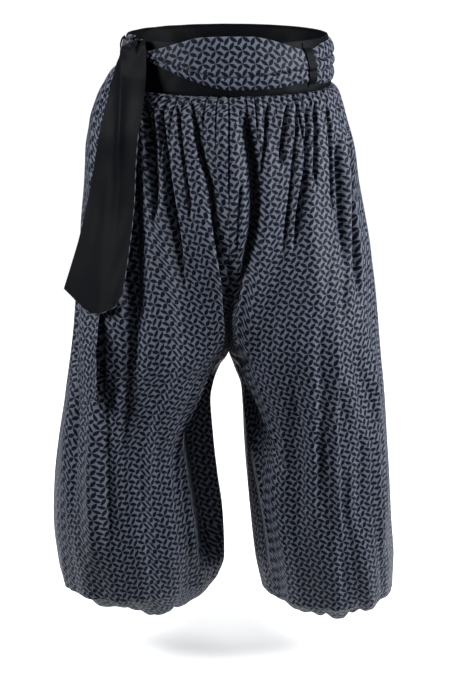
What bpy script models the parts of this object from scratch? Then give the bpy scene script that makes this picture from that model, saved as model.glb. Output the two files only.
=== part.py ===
"""Harem trousers with a tie sash: gathered waist, dropped crotch, full legs, elastic ankles.

Metres, +Z up. The wearer faces -Y, so the wearer's left is +X. The origin is the middle of the
waistband's ring, half way up the band. Every piece of cloth is a closed wall, worn on a general
figure and hollow inside.
"""

import math
from collections import namedtuple

import bpy
import numpy as np

# Driving dimensions.
CLOTH = 0.0015
BAND_CLOTH = 0.0022
SEAM_GAP = 0.0003
HALF_GAP = SEAM_GAP / 2

WAIST_HALF_WIDTH = 0.1575
WAIST_HALF_DEPTH = 0.118
WAIST_TILT = 0.03
BAND_TOP = 0.039
BAND_BOTTOM = -0.0370
BAND_STEP = 9

CROTCH_LEVEL = -0.457
RISE_LEVEL = -0.130
TILT_ENDS = -0.120
FULLNESS = 0.85
SEAM_REACH = 0.35
FINE_STEPS = 121
INSEAM_REACH = 0.20

ANKLE_RADIUS = 0.0520
CUFF_RADIUS = 0.0455
CUFF_HEIGHT = 0.0170
CUFF_CLOTH = 0.0025
CUFF_PUCKER = 0.0008
CUFF_PLACE = 0.55
LIP_LEVEL = -0.9150

# Each panel has a gather for every two of its columns, at the waist and at the ankle.
COLUMNS = 20
WAIST_GATHER = 0.0045
WAIST_GATHER_LENGTH = 0.085
WAIST_SEAM_STRENGTH = 0.45
HEM_GATHER = 0.0045
HEM_GATHER_LENGTH = 0.075
HEM_LIP_HEIGHT = 0.03
HEM_SEAM_STRENGTH = 0.4

# Levels of the rings down a leg, from the waist seam to the top of the ankle's curl.
LEVELS = (
    -0.0373, -0.046, -0.058, -0.074, -0.096, -0.124, -0.156, -0.192, -0.230, -0.270, -0.308,
    -0.344, -0.376, -0.403, -0.425, -0.442, -0.457, -0.474, -0.496, -0.524, -0.560, -0.606,
    -0.660, -0.718, -0.776, -0.828,
)

# Distances from the middle plane at a level: the side seam, the place where the leg's front
# turns inwards, and the inseam.
Station = namedtuple("Station", "level outer front_turn inseam")
RIGHT_STATIONS = (
    Station(-0.037, 0.1590, 0.000, 0.000),
    Station(-0.046, 0.1950, 0.000, 0.000),
    Station(-0.070, 0.2140, 0.000, 0.000),
    Station(-0.120, 0.2230, 0.000, 0.000),
    Station(-0.200, 0.2280, 0.000, 0.000),
    Station(-0.300, 0.2370, 0.000, 0.000),
    Station(-0.390, 0.2450, 0.000, 0.000),
    Station(-0.457, 0.2530, 0.002, 0.000),
    Station(-0.490, 0.2580, 0.022, 0.015),
    Station(-0.524, 0.2630, 0.038, 0.027),
    Station(-0.557, 0.2680, 0.054, 0.032),
    Station(-0.620, 0.2790, 0.070, 0.028),
    Station(-0.690, 0.2870, 0.064, 0.021),
    Station(-0.756, 0.2900, 0.054, 0.012),
    Station(-0.828, 0.2850, 0.048, 0.009),
    Station(-0.864, 0.2790, 0.050, 0.020),
)
LEFT_STATIONS = (
    Station(-0.037, 0.1590, 0.000, 0.000),
    Station(-0.055, 0.1720, 0.000, 0.000),
    Station(-0.095, 0.1850, 0.000, 0.000),
    Station(-0.138, 0.1970, 0.000, 0.000),
    Station(-0.190, 0.2040, 0.000, 0.000),
    Station(-0.296, 0.2240, 0.000, 0.000),
    Station(-0.387, 0.2360, 0.000, 0.000),
    Station(-0.457, 0.2430, 0.002, 0.000),
    Station(-0.490, 0.2465, 0.013, 0.009),
    Station(-0.524, 0.2500, 0.027, 0.021),
    Station(-0.557, 0.2530, 0.042, 0.024),
    Station(-0.620, 0.2590, 0.052, 0.027),
    Station(-0.690, 0.2650, 0.048, 0.032),
    Station(-0.756, 0.2690, 0.055, 0.038),
    Station(-0.828, 0.2745, 0.064, 0.046),
    Station(-0.885, 0.2745, 0.070, 0.058),
)

# How far the front and the back stand from the side seams at a level, on both legs.
Depth = namedtuple("Depth", "level front back")
DEPTHS = (
    Depth(-0.037, 0.1190, 0.1190),
    Depth(-0.050, 0.1300, 0.1340),
    Depth(-0.080, 0.1400, 0.1520),
    Depth(-0.140, 0.1480, 0.1680),
    Depth(-0.220, 0.1530, 0.1760),
    Depth(-0.320, 0.1560, 0.1760),
    Depth(-0.420, 0.1540, 0.1700),
    Depth(-0.520, 0.1480, 0.1600),
    Depth(-0.640, 0.1400, 0.1500),
    Depth(-0.760, 0.1320, 0.1420),
    Depth(-0.828, 0.1230, 0.1330),
    Depth(-0.885, 0.1120, 0.1200),
)

# A leg: the side it is on, its stations, its ankle's distance from the middle plane, and the
# level where the hem starts to round under.
Leg = namedtuple("Leg", "name side stations ankle hem_start")
RIGHT_LEG = Leg("right", -1, RIGHT_STATIONS, 0.141, -0.864)
LEFT_LEG = Leg("left", 1, LEFT_STATIONS, 0.168, -0.880)

# The hem's rounding: how far in to the ankle, and how far down to the lip.
HemRow = namedtuple("HemRow", "inward drop")
HEM_ROWS = (
    HemRow(0.00, 0.00), HemRow(0.10, 0.20), HemRow(0.26, 0.48), HemRow(0.48, 0.78),
    HemRow(0.72, 0.97), HemRow(0.92, 1.00), HemRow(1.00, 0.72), HemRow(1.00, 0.48),
)

# A fold's share of its length over which it deepens at its top, and fades at its bottom.
FOLD_FADE_IN = 0.20
FOLD_FADE_OUT = 0.33

# The main folds. A fold runs down a face from its top to its bottom, through its middle, at
# distances from the middle plane. A positive depth is a trough and a negative one a ridge.
Fold = namedtuple("Fold", "face top_x middle_x bottom_x top_level bottom_level half_width depth")
FOLDS = (
    Fold("front", -0.130, -0.125, -0.119, -0.050, -0.190, 0.014, 0.016),
    Fold("front", -0.102, -0.082, -0.058, -0.080, -0.380, 0.013, 0.012),
    Fold("front", -0.056, -0.030, -0.002, -0.055, -0.400, 0.014, 0.017),
    Fold("front", 0.030, 0.047, 0.002, -0.085, -0.350, 0.015, 0.018),
    Fold("front", 0.116, 0.108, 0.096, -0.070, -0.260, 0.011, 0.008),
    Fold("front", 0.057, 0.056, 0.052, -0.060, -0.150, 0.010, 0.007),
    Fold("front", 0.201, 0.204, 0.198, -0.200, -0.430, 0.014, 0.009),
    Fold("front", -0.156, -0.160, -0.165, -0.150, -0.700, 0.020, 0.008),
    Fold("front", 0.150, 0.165, 0.178, -0.500, -0.840, 0.020, 0.009),
    Fold("front", -0.208, -0.214, -0.220, -0.560, -0.850, 0.018, 0.007),
    Fold("back", -0.035, -0.028, -0.004, -0.070, -0.400, 0.016, 0.016),
    Fold("back", 0.042, 0.034, 0.004, -0.080, -0.380, 0.015, 0.015),
    Fold("back", -0.095, -0.085, -0.070, -0.060, -0.330, 0.014, 0.011),
    Fold("back", 0.104, 0.096, 0.082, -0.055, -0.290, 0.013, 0.011),
    Fold("back", 0.150, 0.156, 0.160, -0.090, -0.500, 0.016, 0.009),
    Fold("back", -0.160, -0.168, -0.170, -0.110, -0.560, 0.018, 0.009),
    Fold("back", 0.120, 0.140, 0.150, -0.520, -0.840, 0.020, 0.009),
    Fold("back", -0.130, -0.150, -0.160, -0.580, -0.850, 0.020, 0.009),
)

# The sash round the waist: its edges at turns from the centre front, in degrees to the
# wearer's left. It starts beside the knot and ends at the knot's other side.
SashStation = namedtuple("SashStation", "turn top bottom")
SASH_STATIONS = (
    SashStation(-48, 0.0225, 0.0095),
    SashStation(-40, 0.0290, 0.0030),
    SashStation(-15, 0.0480, -0.0170),
    SashStation(0, 0.0500, -0.0270),
    SashStation(22, 0.0440, -0.0265),
    SashStation(44, 0.0260, -0.0225),
    SashStation(52, 0.0245, -0.0225),
    SashStation(64, 0.0310, -0.0285),
    SashStation(90, 0.0330, -0.0285),
    SashStation(180, 0.0335, -0.0280),
    SashStation(265, 0.0325, -0.0210),
    SashStation(295, 0.0290, 0.0040),
)
SASH_COLUMNS = 40
SASH_BED = 0.0006
SASH_LAYERS = 0.0012
# The folded sash's outer face from its bottom edge to its top: height, and how far it stands
# off its bed.
SashRow = namedtuple("SashRow", "height rise")
SASH_ROWS = (
    SashRow(0.00, 0.0006), SashRow(0.10, 0.0036), SashRow(0.32, 0.0030), SashRow(0.38, 0.0052),
    SashRow(0.62, 0.0040), SashRow(0.69, 0.0058), SashRow(0.90, 0.0040), SashRow(1.00, 0.0006),
)

# The tails' edges down their length, as distances from the middle plane, and how far the cloth
# hangs off the leg's front.
TailRow = namedtuple("TailRow", "level outer_edge inner_edge stand_off")
BLACK_TAIL = (
    TailRow(0.003, 0.1665, 0.1240, -0.0170),
    TailRow(-0.030, 0.1790, 0.1256, 0.0040),
    TailRow(-0.052, 0.1860, 0.1285, 0.0165),
    TailRow(-0.102, 0.1990, 0.1368, 0.0165),
    TailRow(-0.152, 0.2080, 0.1410, 0.0130),
    TailRow(-0.202, 0.2180, 0.1440, 0.0110),
    TailRow(-0.262, 0.2330, 0.1510, 0.0110),
    TailRow(-0.329, 0.2540, 0.1600, 0.0110),
)
BLACK_TAIL_TIP_DROP = 0.038
BLACK_TAIL_MIDDLE_DROP = 0.010
BLACK_TAIL_TIP_PLACE = 0.48

PRINT_TAIL = (
    TailRow(0.003, 0.1560, 0.1360, -0.0215),
    TailRow(-0.032, 0.1640, 0.1430, -0.0010),
    TailRow(-0.054, 0.1700, 0.1480, 0.0125),
    TailRow(-0.100, 0.1840, 0.1600, 0.0125),
    TailRow(-0.200, 0.2020, 0.1770, 0.0070),
    TailRow(-0.300, 0.2180, 0.1920, 0.0060),
    TailRow(-0.369, 0.2269, 0.2010, 0.0060),
    TailRow(-0.440, 0.2330, 0.2050, 0.0060),
    TailRow(-0.505, 0.2330, 0.2050, 0.0060),
)
PRINT_TAIL_TIP_DROP = 0.018
PRINT_TAIL_MIDDLE_DROP = 0.008
PRINT_TAIL_TIP_PLACE = 0.40
TAIL_COLUMNS = 8
# Above this level the tails hang straight from the knot, and past this slope they lie flat.
PUFF_LEVEL = -0.056
MOST_WRAP = 0.95
SIDE_SHARE = 0.95
TAIL_CLOTH = 0.0022
PRINT_TAIL_CLOTH = 0.0036

KNOT_TURN = -56.0
KNOT_HALF_WIDTH = 0.0165
KNOT_HALF_DEPTH = 0.0110
KNOT_BOTTOM = 0.0056
KNOT_TOP = 0.0420
KNOT_RIDGE = 0.07
KNOT_FULLNESS = 0.6
KNOT_SEGMENTS = 16
KNOT_RINGS = 10

# Belt loops stand over the sash: turn, lean of the bottom against the top, and their sizes.
LoopPlace = namedtuple("LoopPlace", "name turn lean")
LOOPS = (
    LoopPlace("loop_front_left", 49.0, 3.5),
    LoopPlace("loop_side_right", -86.0, 0.0),
    LoopPlace("loop_back_left", 140.0, 0.0),
    LoopPlace("loop_back_right", 220.0, 0.0),
)
LOOP_WIDTH = 0.014
LOOP_CLOTH = 0.0018
LOOP_TOP = 0.0365
LOOP_BOTTOM = -0.0310
LOOP_STAND_OFF = 0.0118
LOOP_SHOULDER = 0.75
LOOP_ROUND = 0.006


def blend(low, high, share):
    """The value at a share of the way from low to high."""
    return low + (high - low) * share


def ease(share):
    """A smooth step from 0 to 1."""
    share = np.clip(share, 0.0, 1.0)
    return share * share * (3.0 - 2.0 * share)


def along(table, key, column, place):
    """A table's column at a place along its key, on a smooth curve that never overshoots."""
    keys = np.array([getattr(row, key) for row in table])
    values = np.array([getattr(row, column) for row in table])
    if keys[0] > keys[-1]:
        keys, values = keys[::-1], values[::-1]
    place = np.clip(place, keys[0], keys[-1])
    steps = np.diff(keys)
    slopes = np.diff(values) / steps
    rising = slopes[1:] * slopes[:-1] > 0
    sums = np.where(rising, slopes[1:] + slopes[:-1], 1)
    mean = np.where(rising, 2 * slopes[1:] * slopes[:-1] / sums, 0)
    tangents = np.concatenate([slopes[:1], mean, slopes[-1:]])
    index = np.clip(np.searchsorted(keys, place) - 1, 0, len(steps) - 1)
    step = steps[index]
    share = (place - keys[index]) / step
    bend = share * (1 - share)
    line = values[index] * (1 - share) + values[index + 1] * share
    start = (tangents[index] - slopes[index]) * (1 - share)
    end = (tangents[index + 1] - slopes[index]) * share
    return line + bend * step * (start - end)


def face_sign(face):
    """-1 on the front, which faces -Y, and 1 on the back."""
    return -1 if face == "front" else 1


def seam_share(level):
    """How far out the centre seam stands, of the cloth's depth: 1 at the hips, 0 at the crotch."""
    fall = (RISE_LEVEL - level) / (RISE_LEVEL - CROTCH_LEVEL)
    return math.sqrt(1.0 - min(max(fall, 0.0), 1.0) ** 2)


def body_share(level):
    """1 where a ring is one oval round the body, falling to 0 where it is two round legs."""
    return 1.0 - float(ease((RISE_LEVEL - level) / (RISE_LEVEL - CROTCH_LEVEL)))


def plain_row(leg, face, level, shares):
    """The leg's outer surface without folds: x and y along one face, from inseam to side seam."""
    angles = math.pi * shares
    outer = along(leg.stations, "level", "outer", level)
    inseam = along(leg.stations, "level", "inseam", level)
    turn = along(leg.stations, "level", "front_turn", level) if face == "front" else inseam
    depth = along(DEPTHS, "level", face, level)
    whole = body_share(level)
    inner = blend(inseam, turn, ease(shares / INSEAM_REACH))
    leg_x = blend(inner, outer, (1 - np.cos(angles)) / 2)
    body_x = outer * np.sin(angles / 2)
    leg_y = np.abs(np.sin(angles)) ** FULLNESS
    body_y = np.cos(angles / 2)
    seam_y = (seam_share(level) - whole) * ease(1 - shares / SEAM_REACH)
    x = leg.side * blend(leg_x, body_x, whole)
    y = face_sign(face) * depth * (blend(leg_y, body_y, whole) + seam_y)
    return x, y


def over_front(x, level, stand_off):
    """How far forward cloth hangs at x over the right leg's plain front, flat past its side."""
    shares = np.linspace(0, SIDE_SHARE, FINE_STEPS)
    row_x, row_y = plain_row(RIGHT_LEG, "front", min(level, PUFF_LEVEL), shares)
    row_x, row_y = np.abs(row_x), -row_y
    slopes = np.maximum(np.gradient(row_y, row_x), -MOST_WRAP)
    steps = np.diff(row_x) * (slopes[1:] + slopes[:-1]) / 2
    row_y = row_y[0] + np.concatenate([[0.0], np.cumsum(steps)])
    past = np.maximum(np.abs(x) - row_x[-1], 0.0)
    slope = np.interp(np.abs(x), row_x, slopes)
    return np.interp(np.abs(x), row_x, row_y) - MOST_WRAP * past + stand_off * np.hypot(1.0, slope)


def row_length(x, y):
    """The length of a row of points."""
    return float(np.sum(np.hypot(np.diff(x), np.diff(y))))


def fold_depths(leg, face, level, shares):
    """How far the main folds sink the points of a row."""
    sunk = np.zeros(len(shares))
    x, y = plain_row(leg, face, level, shares)
    places = leg.side * shares * row_length(x, y)
    for fold in FOLDS:
        side = 1 if fold.middle_x > 0 else -1
        if fold.face != face or not fold.bottom_level < level < fold.top_level:
            continue
        if side != leg.side and level < CROTCH_LEVEL:
            continue
        home = LEFT_LEG if side > 0 else RIGHT_LEG
        down = (fold.top_level - level) / (fold.top_level - fold.bottom_level)
        ends = (fold.top_x * (1 - down) * (1 - 2 * down), fold.bottom_x * down * (2 * down - 1))
        fold_x = ends[0] + ends[1] + fold.middle_x * 4 * down * (1 - down)
        fine = np.linspace(0, 1, FINE_STEPS)
        home_x, home_y = plain_row(home, face, level, fine)
        share = np.interp(abs(fold_x), np.maximum.accumulate(np.abs(home_x)), fine)
        middle = side * share * row_length(home_x, home_y)
        strength = ease(down / FOLD_FADE_IN) * ease((1 - down) / FOLD_FADE_OUT)
        sunk += fold.depth * strength * np.exp(-(((places - middle) / fold.half_width) ** 2))
    return sunk


def waist_waves(leg, face, level, shares):
    """The gathers under the waistband, uneven in depth and length round the body."""
    turn = leg.side * shares * math.pi / 2
    if face == "back":
        turn = leg.side * math.pi - turn
    length = WAIST_GATHER_LENGTH * (1 + 0.35 * np.sin(5 * turn + 0.5) + 0.25 * np.sin(9 * turn + 2.2))
    height = WAIST_GATHER * (1 + 0.3 * np.sin(3 * turn + 1.0) + 0.25 * np.sin(11 * turn + 2.0))
    fall = (LEVELS[0] - level) / length
    strength = blend(WAIST_SEAM_STRENGTH, 1.0, ease(fall * 4.0)) * (1 - ease(fall))
    return -height * strength * np.cos(math.pi * COLUMNS * shares)


def hem_waves(leg, face, rise, shares):
    """The gathers over the ankle, at a height above the lip along the cloth."""
    turn = -face_sign(face) * shares * math.pi
    length = HEM_GATHER_LENGTH * (1 + 0.3 * np.sin(4 * turn + leg.side) + 0.2 * np.sin(7 * turn + 2.0))
    height = HEM_GATHER * (1 + 0.3 * np.sin(3 * turn + 1.0 + leg.side) + 0.2 * np.sin(6 * turn))
    return -height * (1 - ease(rise / length)) * np.cos(math.pi * COLUMNS * shares)


def moved_out(leg, face, x, y, distance):
    """A row of points moved square to the row, away from the body."""
    run_x, run_y = np.gradient(x), np.gradient(y)
    size = np.hypot(run_x, run_y)
    sign = -face_sign(face) * leg.side
    return x + sign * distance * run_y / size, y - sign * distance * run_x / size


def leg_rows(leg, face):
    """The outer surface of one leg panel as a grid of points, rows down and columns outwards."""
    shares = np.linspace(0.0, 1.0, COLUMNS + 1)
    rows = []
    for level in LEVELS:
        x, y = plain_row(leg, face, level, shares)
        out = waist_waves(leg, face, level, shares) - fold_depths(leg, face, level, shares)
        out = out + hem_waves(leg, face, level - leg.hem_start + HEM_LIP_HEIGHT, shares)
        x, y = moved_out(leg, face, x, y, out)
        tilt = WAIST_TILT * y * ease((level - TILT_ENDS) / (LEVELS[0] - TILT_ENDS))
        rows.append(np.stack([x, y, level + tilt], axis=1))
    full_x, full_y = plain_row(leg, face, leg.hem_start, shares)
    angles = math.pi * shares
    for place, hem in enumerate(HEM_ROWS):
        ring_x = leg.side * (leg.ankle - ANKLE_RADIUS * np.cos(angles))
        ring_y = face_sign(face) * ANKLE_RADIUS * np.sin(angles)
        x, y = blend(full_x, ring_x, hem.inward), blend(full_y, ring_y, hem.inward)
        rise = HEM_LIP_HEIGHT * max(0.0, 1 - place / 3)
        out = hem_waves(leg, face, rise, shares) * blend(1.0, HEM_SEAM_STRENGTH, hem.inward)
        x, y = moved_out(leg, face, x, y, out)
        level = blend(leg.hem_start, LIP_LEVEL, hem.drop)
        rows.append(np.stack([x, y, np.full(len(shares), level)], axis=1))
    top = rows[-1].copy()
    centre = np.array([leg.side * leg.ankle, 0.0])
    top[:, :2] = centre + (top[:, :2] - centre) * (CUFF_RADIUS / ANKLE_RADIUS)
    top[:, 2] = cuff_top(leg) + SEAM_GAP
    rows.append(top)
    return np.array(rows)


def cuff_top(leg):
    """The level of the elastic casing's upper edge."""
    return blend(leg.hem_start, LIP_LEVEL, CUFF_PLACE)


def surface_normals(points, sign):
    """The outward normals of a grid of points."""
    down = np.gradient(points, axis=0)
    across = np.gradient(points, axis=1)
    normals = sign * np.cross(across, down)
    return normals / np.linalg.norm(normals, axis=2, keepdims=True)


def kept_off_seams(leg, face, points, edge):
    """Points held half a seam gap from the side, crotch and inseam planes, on their own side."""
    kept = points.copy()
    sign = face_sign(face)
    kept[..., 1] = sign * np.maximum(sign * kept[..., 1], HALF_GAP)
    kept[..., 0] = leg.side * np.maximum(leg.side * kept[..., 0], HALF_GAP)
    if edge:
        joined = sum(level > CROTCH_LEVEL for level in LEVELS)
        kept[:joined, 0, 0] = leg.side * HALF_GAP
        kept[joined:, 0, 1] = sign * HALF_GAP
        kept[:, -1, 1] = sign * HALF_GAP
    return kept


def wall_mesh(name, outer, inner):
    """A closed wall between an outer and an inner grid of points."""
    rows, columns = outer.shape[:2]
    points = np.concatenate([outer.reshape(-1, 3), inner.reshape(-1, 3)])
    under = rows * columns

    def at(row, column, side=0):
        return side * under + row * columns + column

    faces = []
    for row in range(rows - 1):
        for column in range(columns - 1):
            corners = ((row, column), (row + 1, column), (row + 1, column + 1), (row, column + 1))
            faces.append([at(*corner) for corner in corners])
            faces.append([at(*corner, side=1) for corner in reversed(corners)])
    rim = [(row, 0) for row in range(rows)]
    rim += [(rows - 1, column) for column in range(1, columns)]
    rim += [(row, columns - 1) for row in range(rows - 2, -1, -1)]
    rim += [(0, column) for column in range(columns - 2, 0, -1)]
    for start, end in zip(rim, rim[1:] + rim[:1]):
        faces.append([at(*end), at(*start), at(*start, side=1), at(*end, side=1)])
    mesh = bpy.data.meshes.new(name)
    mesh.from_pydata(points.tolist(), [], faces)
    return mesh


def ring_mesh(name, outer, inner):
    """A closed wall that goes right round: each row of the grids closes on itself."""
    rows, columns = outer.shape[:2]
    points = np.concatenate([outer.reshape(-1, 3), inner.reshape(-1, 3)])
    under = rows * columns
    faces = []
    for column in range(columns):
        after = (column + 1) % columns
        for row in range(rows - 1):
            above, below = row * columns, (row + 1) * columns
            faces.append([above + column, below + column, below + after, above + after])
            inside = [above + after, below + after, below + column, above + column]
            faces.append([under + corner for corner in inside])
        last = (rows - 1) * columns
        faces.append([column, after, under + after, under + column])
        faces.append([last + after, last + column, under + last + column, under + last + after])
    mesh = bpy.data.meshes.new(name)
    mesh.from_pydata(points.tolist(), [], faces)
    return mesh


def facing_out(mesh):
    """The mesh with its faces turned out, whichever way its points ran."""
    mesh.calc_loop_triangles()
    points = np.array([vertex.co for vertex in mesh.vertices])
    corners = points[np.array([triangle.vertices for triangle in mesh.loop_triangles])]
    volume = np.einsum("ij,ij->i", corners[:, 0], np.cross(corners[:, 1], corners[:, 2])).sum()
    if volume < 0:
        mesh.flip_normals()
    return mesh


def add_piece(name, mesh, material, collection):
    """A named object for one sewn piece."""
    mesh = facing_out(mesh)
    mesh.name = name
    mesh.materials.append(material)
    mesh.shade_smooth()
    piece = bpy.data.objects.new(name, mesh)
    collection.objects.link(piece)
    return piece


def cloth_material(name, colour, roughness):
    """A woven cotton of one colour."""
    material = bpy.data.materials.new(name)
    material.use_nodes = True
    shader = material.node_tree.nodes["Principled BSDF"]
    shader.inputs["Base Color"].default_value = (*colour, 1.0)
    shader.inputs["Roughness"].default_value = roughness
    shader.inputs["Metallic"].default_value = 0.0
    shader.inputs["Sheen Weight"].default_value = 0.2
    return material


def waist_point(turn, out, level):
    """A point on the waist's ellipse at a turn in degrees, moved out from the band's face."""
    angle = math.radians(turn)
    x = (WAIST_HALF_WIDTH + out) * math.sin(angle)
    y = -(WAIST_HALF_DEPTH + out) * math.cos(angle)
    return x, y, level + WAIST_TILT * y


def build_leg_panels(collection, material):
    """The four printed panels: a front and a back for each leg."""
    for leg in (RIGHT_LEG, LEFT_LEG):
        for face in ("front", "back"):
            rows = kept_off_seams(leg, face, leg_rows(leg, face), edge=True)
            sign = leg.side * face_sign(face)
            inner = rows - CLOTH * surface_normals(rows, sign)
            inner = kept_off_seams(leg, face, inner, edge=False)
            inner[0, :, 2] = rows[0, :, 2]
            name = f"{face}_{leg.name}"
            add_piece(name, wall_mesh(name, rows, inner), material, collection)


def build_waistband(collection, material):
    """Three black bands, joined at the centre front and the sides."""
    gap = math.degrees(HALF_GAP / WAIST_HALF_DEPTH)
    bands = (("front_right", -90, 0), ("front_left", 0, 90), ("back", 90, 270))
    for place, start, end in bands:
        name = f"waistband_{place}"
        turns = np.linspace(start + gap, end - gap, (end - start) // BAND_STEP + 1)
        levels = (BAND_TOP, (BAND_TOP + BAND_BOTTOM) / 2, BAND_BOTTOM)
        outer = np.array([[waist_point(turn, 0.0, level) for turn in turns] for level in levels])
        inner = np.array([[waist_point(turn, -BAND_CLOTH, level) for turn in turns] for level in levels])
        add_piece(name, wall_mesh(name, outer, inner), material, collection)


def build_sash_wrap(collection, material):
    """The folded sash round the waist, from one side of the knot to the other."""
    turns = np.linspace(SASH_STATIONS[0].turn, SASH_STATIONS[-1].turn, SASH_COLUMNS + 1)
    outer, inner = [], []
    for row in reversed(SASH_ROWS):
        outer_row, inner_row = [], []
        for turn in turns:
            top = along(SASH_STATIONS, "turn", "top", turn)
            bottom = along(SASH_STATIONS, "turn", "bottom", turn)
            level = blend(bottom, top, row.height)
            outer_row.append(waist_point(turn, SASH_BED + SASH_LAYERS + row.rise, level))
            inner_row.append(waist_point(turn, SASH_BED, level))
        outer.append(outer_row)
        inner.append(inner_row)
    mesh = wall_mesh("sash_wrap", np.array(outer), np.array(inner))
    add_piece("sash_wrap", mesh, material, collection)


def build_knot(collection, material):
    """The knot: a flattened bundle with the cloth's folds running over it."""
    rings = []
    middle = (KNOT_TOP + KNOT_BOTTOM) / 2
    half_height = (KNOT_TOP - KNOT_BOTTOM) / 2
    angle = math.radians(KNOT_TURN)
    out_x, out_y = math.sin(angle), -math.cos(angle)
    centre = waist_point(KNOT_TURN, KNOT_HALF_DEPTH + SEAM_GAP, middle)
    for ring in range(1, KNOT_RINGS):
        rise = -math.cos(math.pi * ring / KNOT_RINGS)
        width = math.sin(math.pi * ring / KNOT_RINGS) ** KNOT_FULLNESS
        row = []
        for segment in range(KNOT_SEGMENTS):
            around = 2 * math.pi * segment / KNOT_SEGMENTS
            ridge = 1 - KNOT_RIDGE * math.cos(4 * around) * width
            side = KNOT_HALF_WIDTH * width * ridge * math.cos(around)
            depth = KNOT_HALF_DEPTH * width * ridge * math.sin(around)
            x = centre[0] + side * -out_y + depth * out_x
            y = centre[1] + side * out_x + depth * out_y
            row.append((x, y, centre[2] + rise * half_height))
        rings.append(row)
    points = [point for row in rings for point in row]
    bottom, top = len(points), len(points) + 1
    points.append((centre[0], centre[1], centre[2] - half_height))
    points.append((centre[0], centre[1], centre[2] + half_height))
    faces = []
    last = (KNOT_RINGS - 2) * KNOT_SEGMENTS
    for segment in range(KNOT_SEGMENTS):
        after = (segment + 1) % KNOT_SEGMENTS
        for ring in range(KNOT_RINGS - 2):
            low, high = ring * KNOT_SEGMENTS, (ring + 1) * KNOT_SEGMENTS
            faces.append([low + segment, low + after, high + after, high + segment])
        faces.append([bottom, after, segment])
        faces.append([top, last + segment, last + after])
    mesh = bpy.data.meshes.new("sash_knot")
    mesh.from_pydata(points, [], faces)
    add_piece("sash_knot", mesh, material, collection)


def tail_rows(table, tip_drop, middle_drop, tip_place):
    """The face of a tail as rows of points, the last row cut to the tail's point."""
    shares = np.linspace(0.0, 1.0, TAIL_COLUMNS + 1)
    drop = np.where(
        shares < tip_place,
        tip_drop * shares / tip_place,
        blend(tip_drop, middle_drop, (shares - tip_place) / (1 - tip_place)),
    )
    table_levels = [row.level for row in table]
    rows = []
    for place in range(2 * len(table) - 1):
        level = float(np.interp(place / 2, range(len(table)), table_levels))
        share_down = (table[0].level - level) / (table[0].level - table[-1].level)
        outer_edge = along(table, "level", "outer_edge", level)
        inner_edge = along(table, "level", "inner_edge", level)
        stand_off = along(table, "level", "stand_off", level)
        x = -blend(outer_edge, inner_edge, shares)
        z = level - drop * ease((share_down - 0.5) * 2)
        y = [-over_front(*point, stand_off) for point in zip(x, z)]
        rows.append(np.stack([x, y, z], axis=1))
    return np.array(rows)


def build_tail(name, table, cut, cloth, collection, material):
    """One hanging end of the sash."""
    rows = tail_rows(table, *cut)
    inner = rows - cloth * surface_normals(rows, -1)
    add_piece(name, wall_mesh(name, rows, inner), material, collection)


def loop_path(stand_off, top, bottom):
    """A belt loop's line from its top seam over the sash to its bottom seam: out and level."""
    bent = stand_off * LOOP_SHOULDER
    return (
        (SEAM_GAP, top), (bent, top - LOOP_ROUND / 4), (stand_off, top - LOOP_ROUND),
        (stand_off, bottom + LOOP_ROUND), (bent, bottom + LOOP_ROUND / 4), (SEAM_GAP, bottom),
    )


def build_loops(collection, material):
    """Belt loops sewn to the band at top and bottom, standing over the sash."""
    outer_path = loop_path(LOOP_STAND_OFF, LOOP_TOP, LOOP_BOTTOM)
    inner_path = loop_path(LOOP_STAND_OFF - LOOP_CLOTH, LOOP_TOP - LOOP_CLOTH, LOOP_BOTTOM + LOOP_CLOTH)
    for place in LOOPS:
        angle = math.radians(place.turn)
        run = math.hypot(WAIST_HALF_WIDTH * math.cos(angle), WAIST_HALF_DEPTH * math.sin(angle))
        half_turn = math.degrees(LOOP_WIDTH / 2 / run)
        grids = []
        for path in (outer_path, inner_path):
            rows = []
            for out, level in path:
                lean = place.lean * (LOOP_TOP - level) / (LOOP_TOP - LOOP_BOTTOM)
                middle = place.turn + lean
                turns = (middle - half_turn, middle, middle + half_turn)
                rows.append([waist_point(turn, out, level) for turn in turns])
            grids.append(np.array(rows))
        add_piece(place.name, wall_mesh(place.name, *grids), material, collection)


def build_cuffs(collection, material):
    """The elastic casings round the ankles."""
    for leg in (RIGHT_LEG, LEFT_LEG):
        turns = np.linspace(0, 2 * math.pi, 2 * COLUMNS, endpoint=False)
        pucker = CUFF_PUCKER * np.cos(COLUMNS * turns)
        grids = []
        for radius in (CUFF_RADIUS, CUFF_RADIUS - CUFF_CLOTH):
            rows = []
            for level in (cuff_top(leg), cuff_top(leg) - CUFF_HEIGHT / 2, cuff_top(leg) - CUFF_HEIGHT):
                x = leg.side * leg.ankle + (radius + pucker) * np.sin(turns)
                y = -(radius + pucker) * np.cos(turns)
                rows.append(np.stack([x, y, np.full(len(turns), level)], axis=1))
            grids.append(np.array(rows))
        name = f"cuff_{leg.name}"
        add_piece(name, ring_mesh(name, *grids), material, collection)


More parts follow.
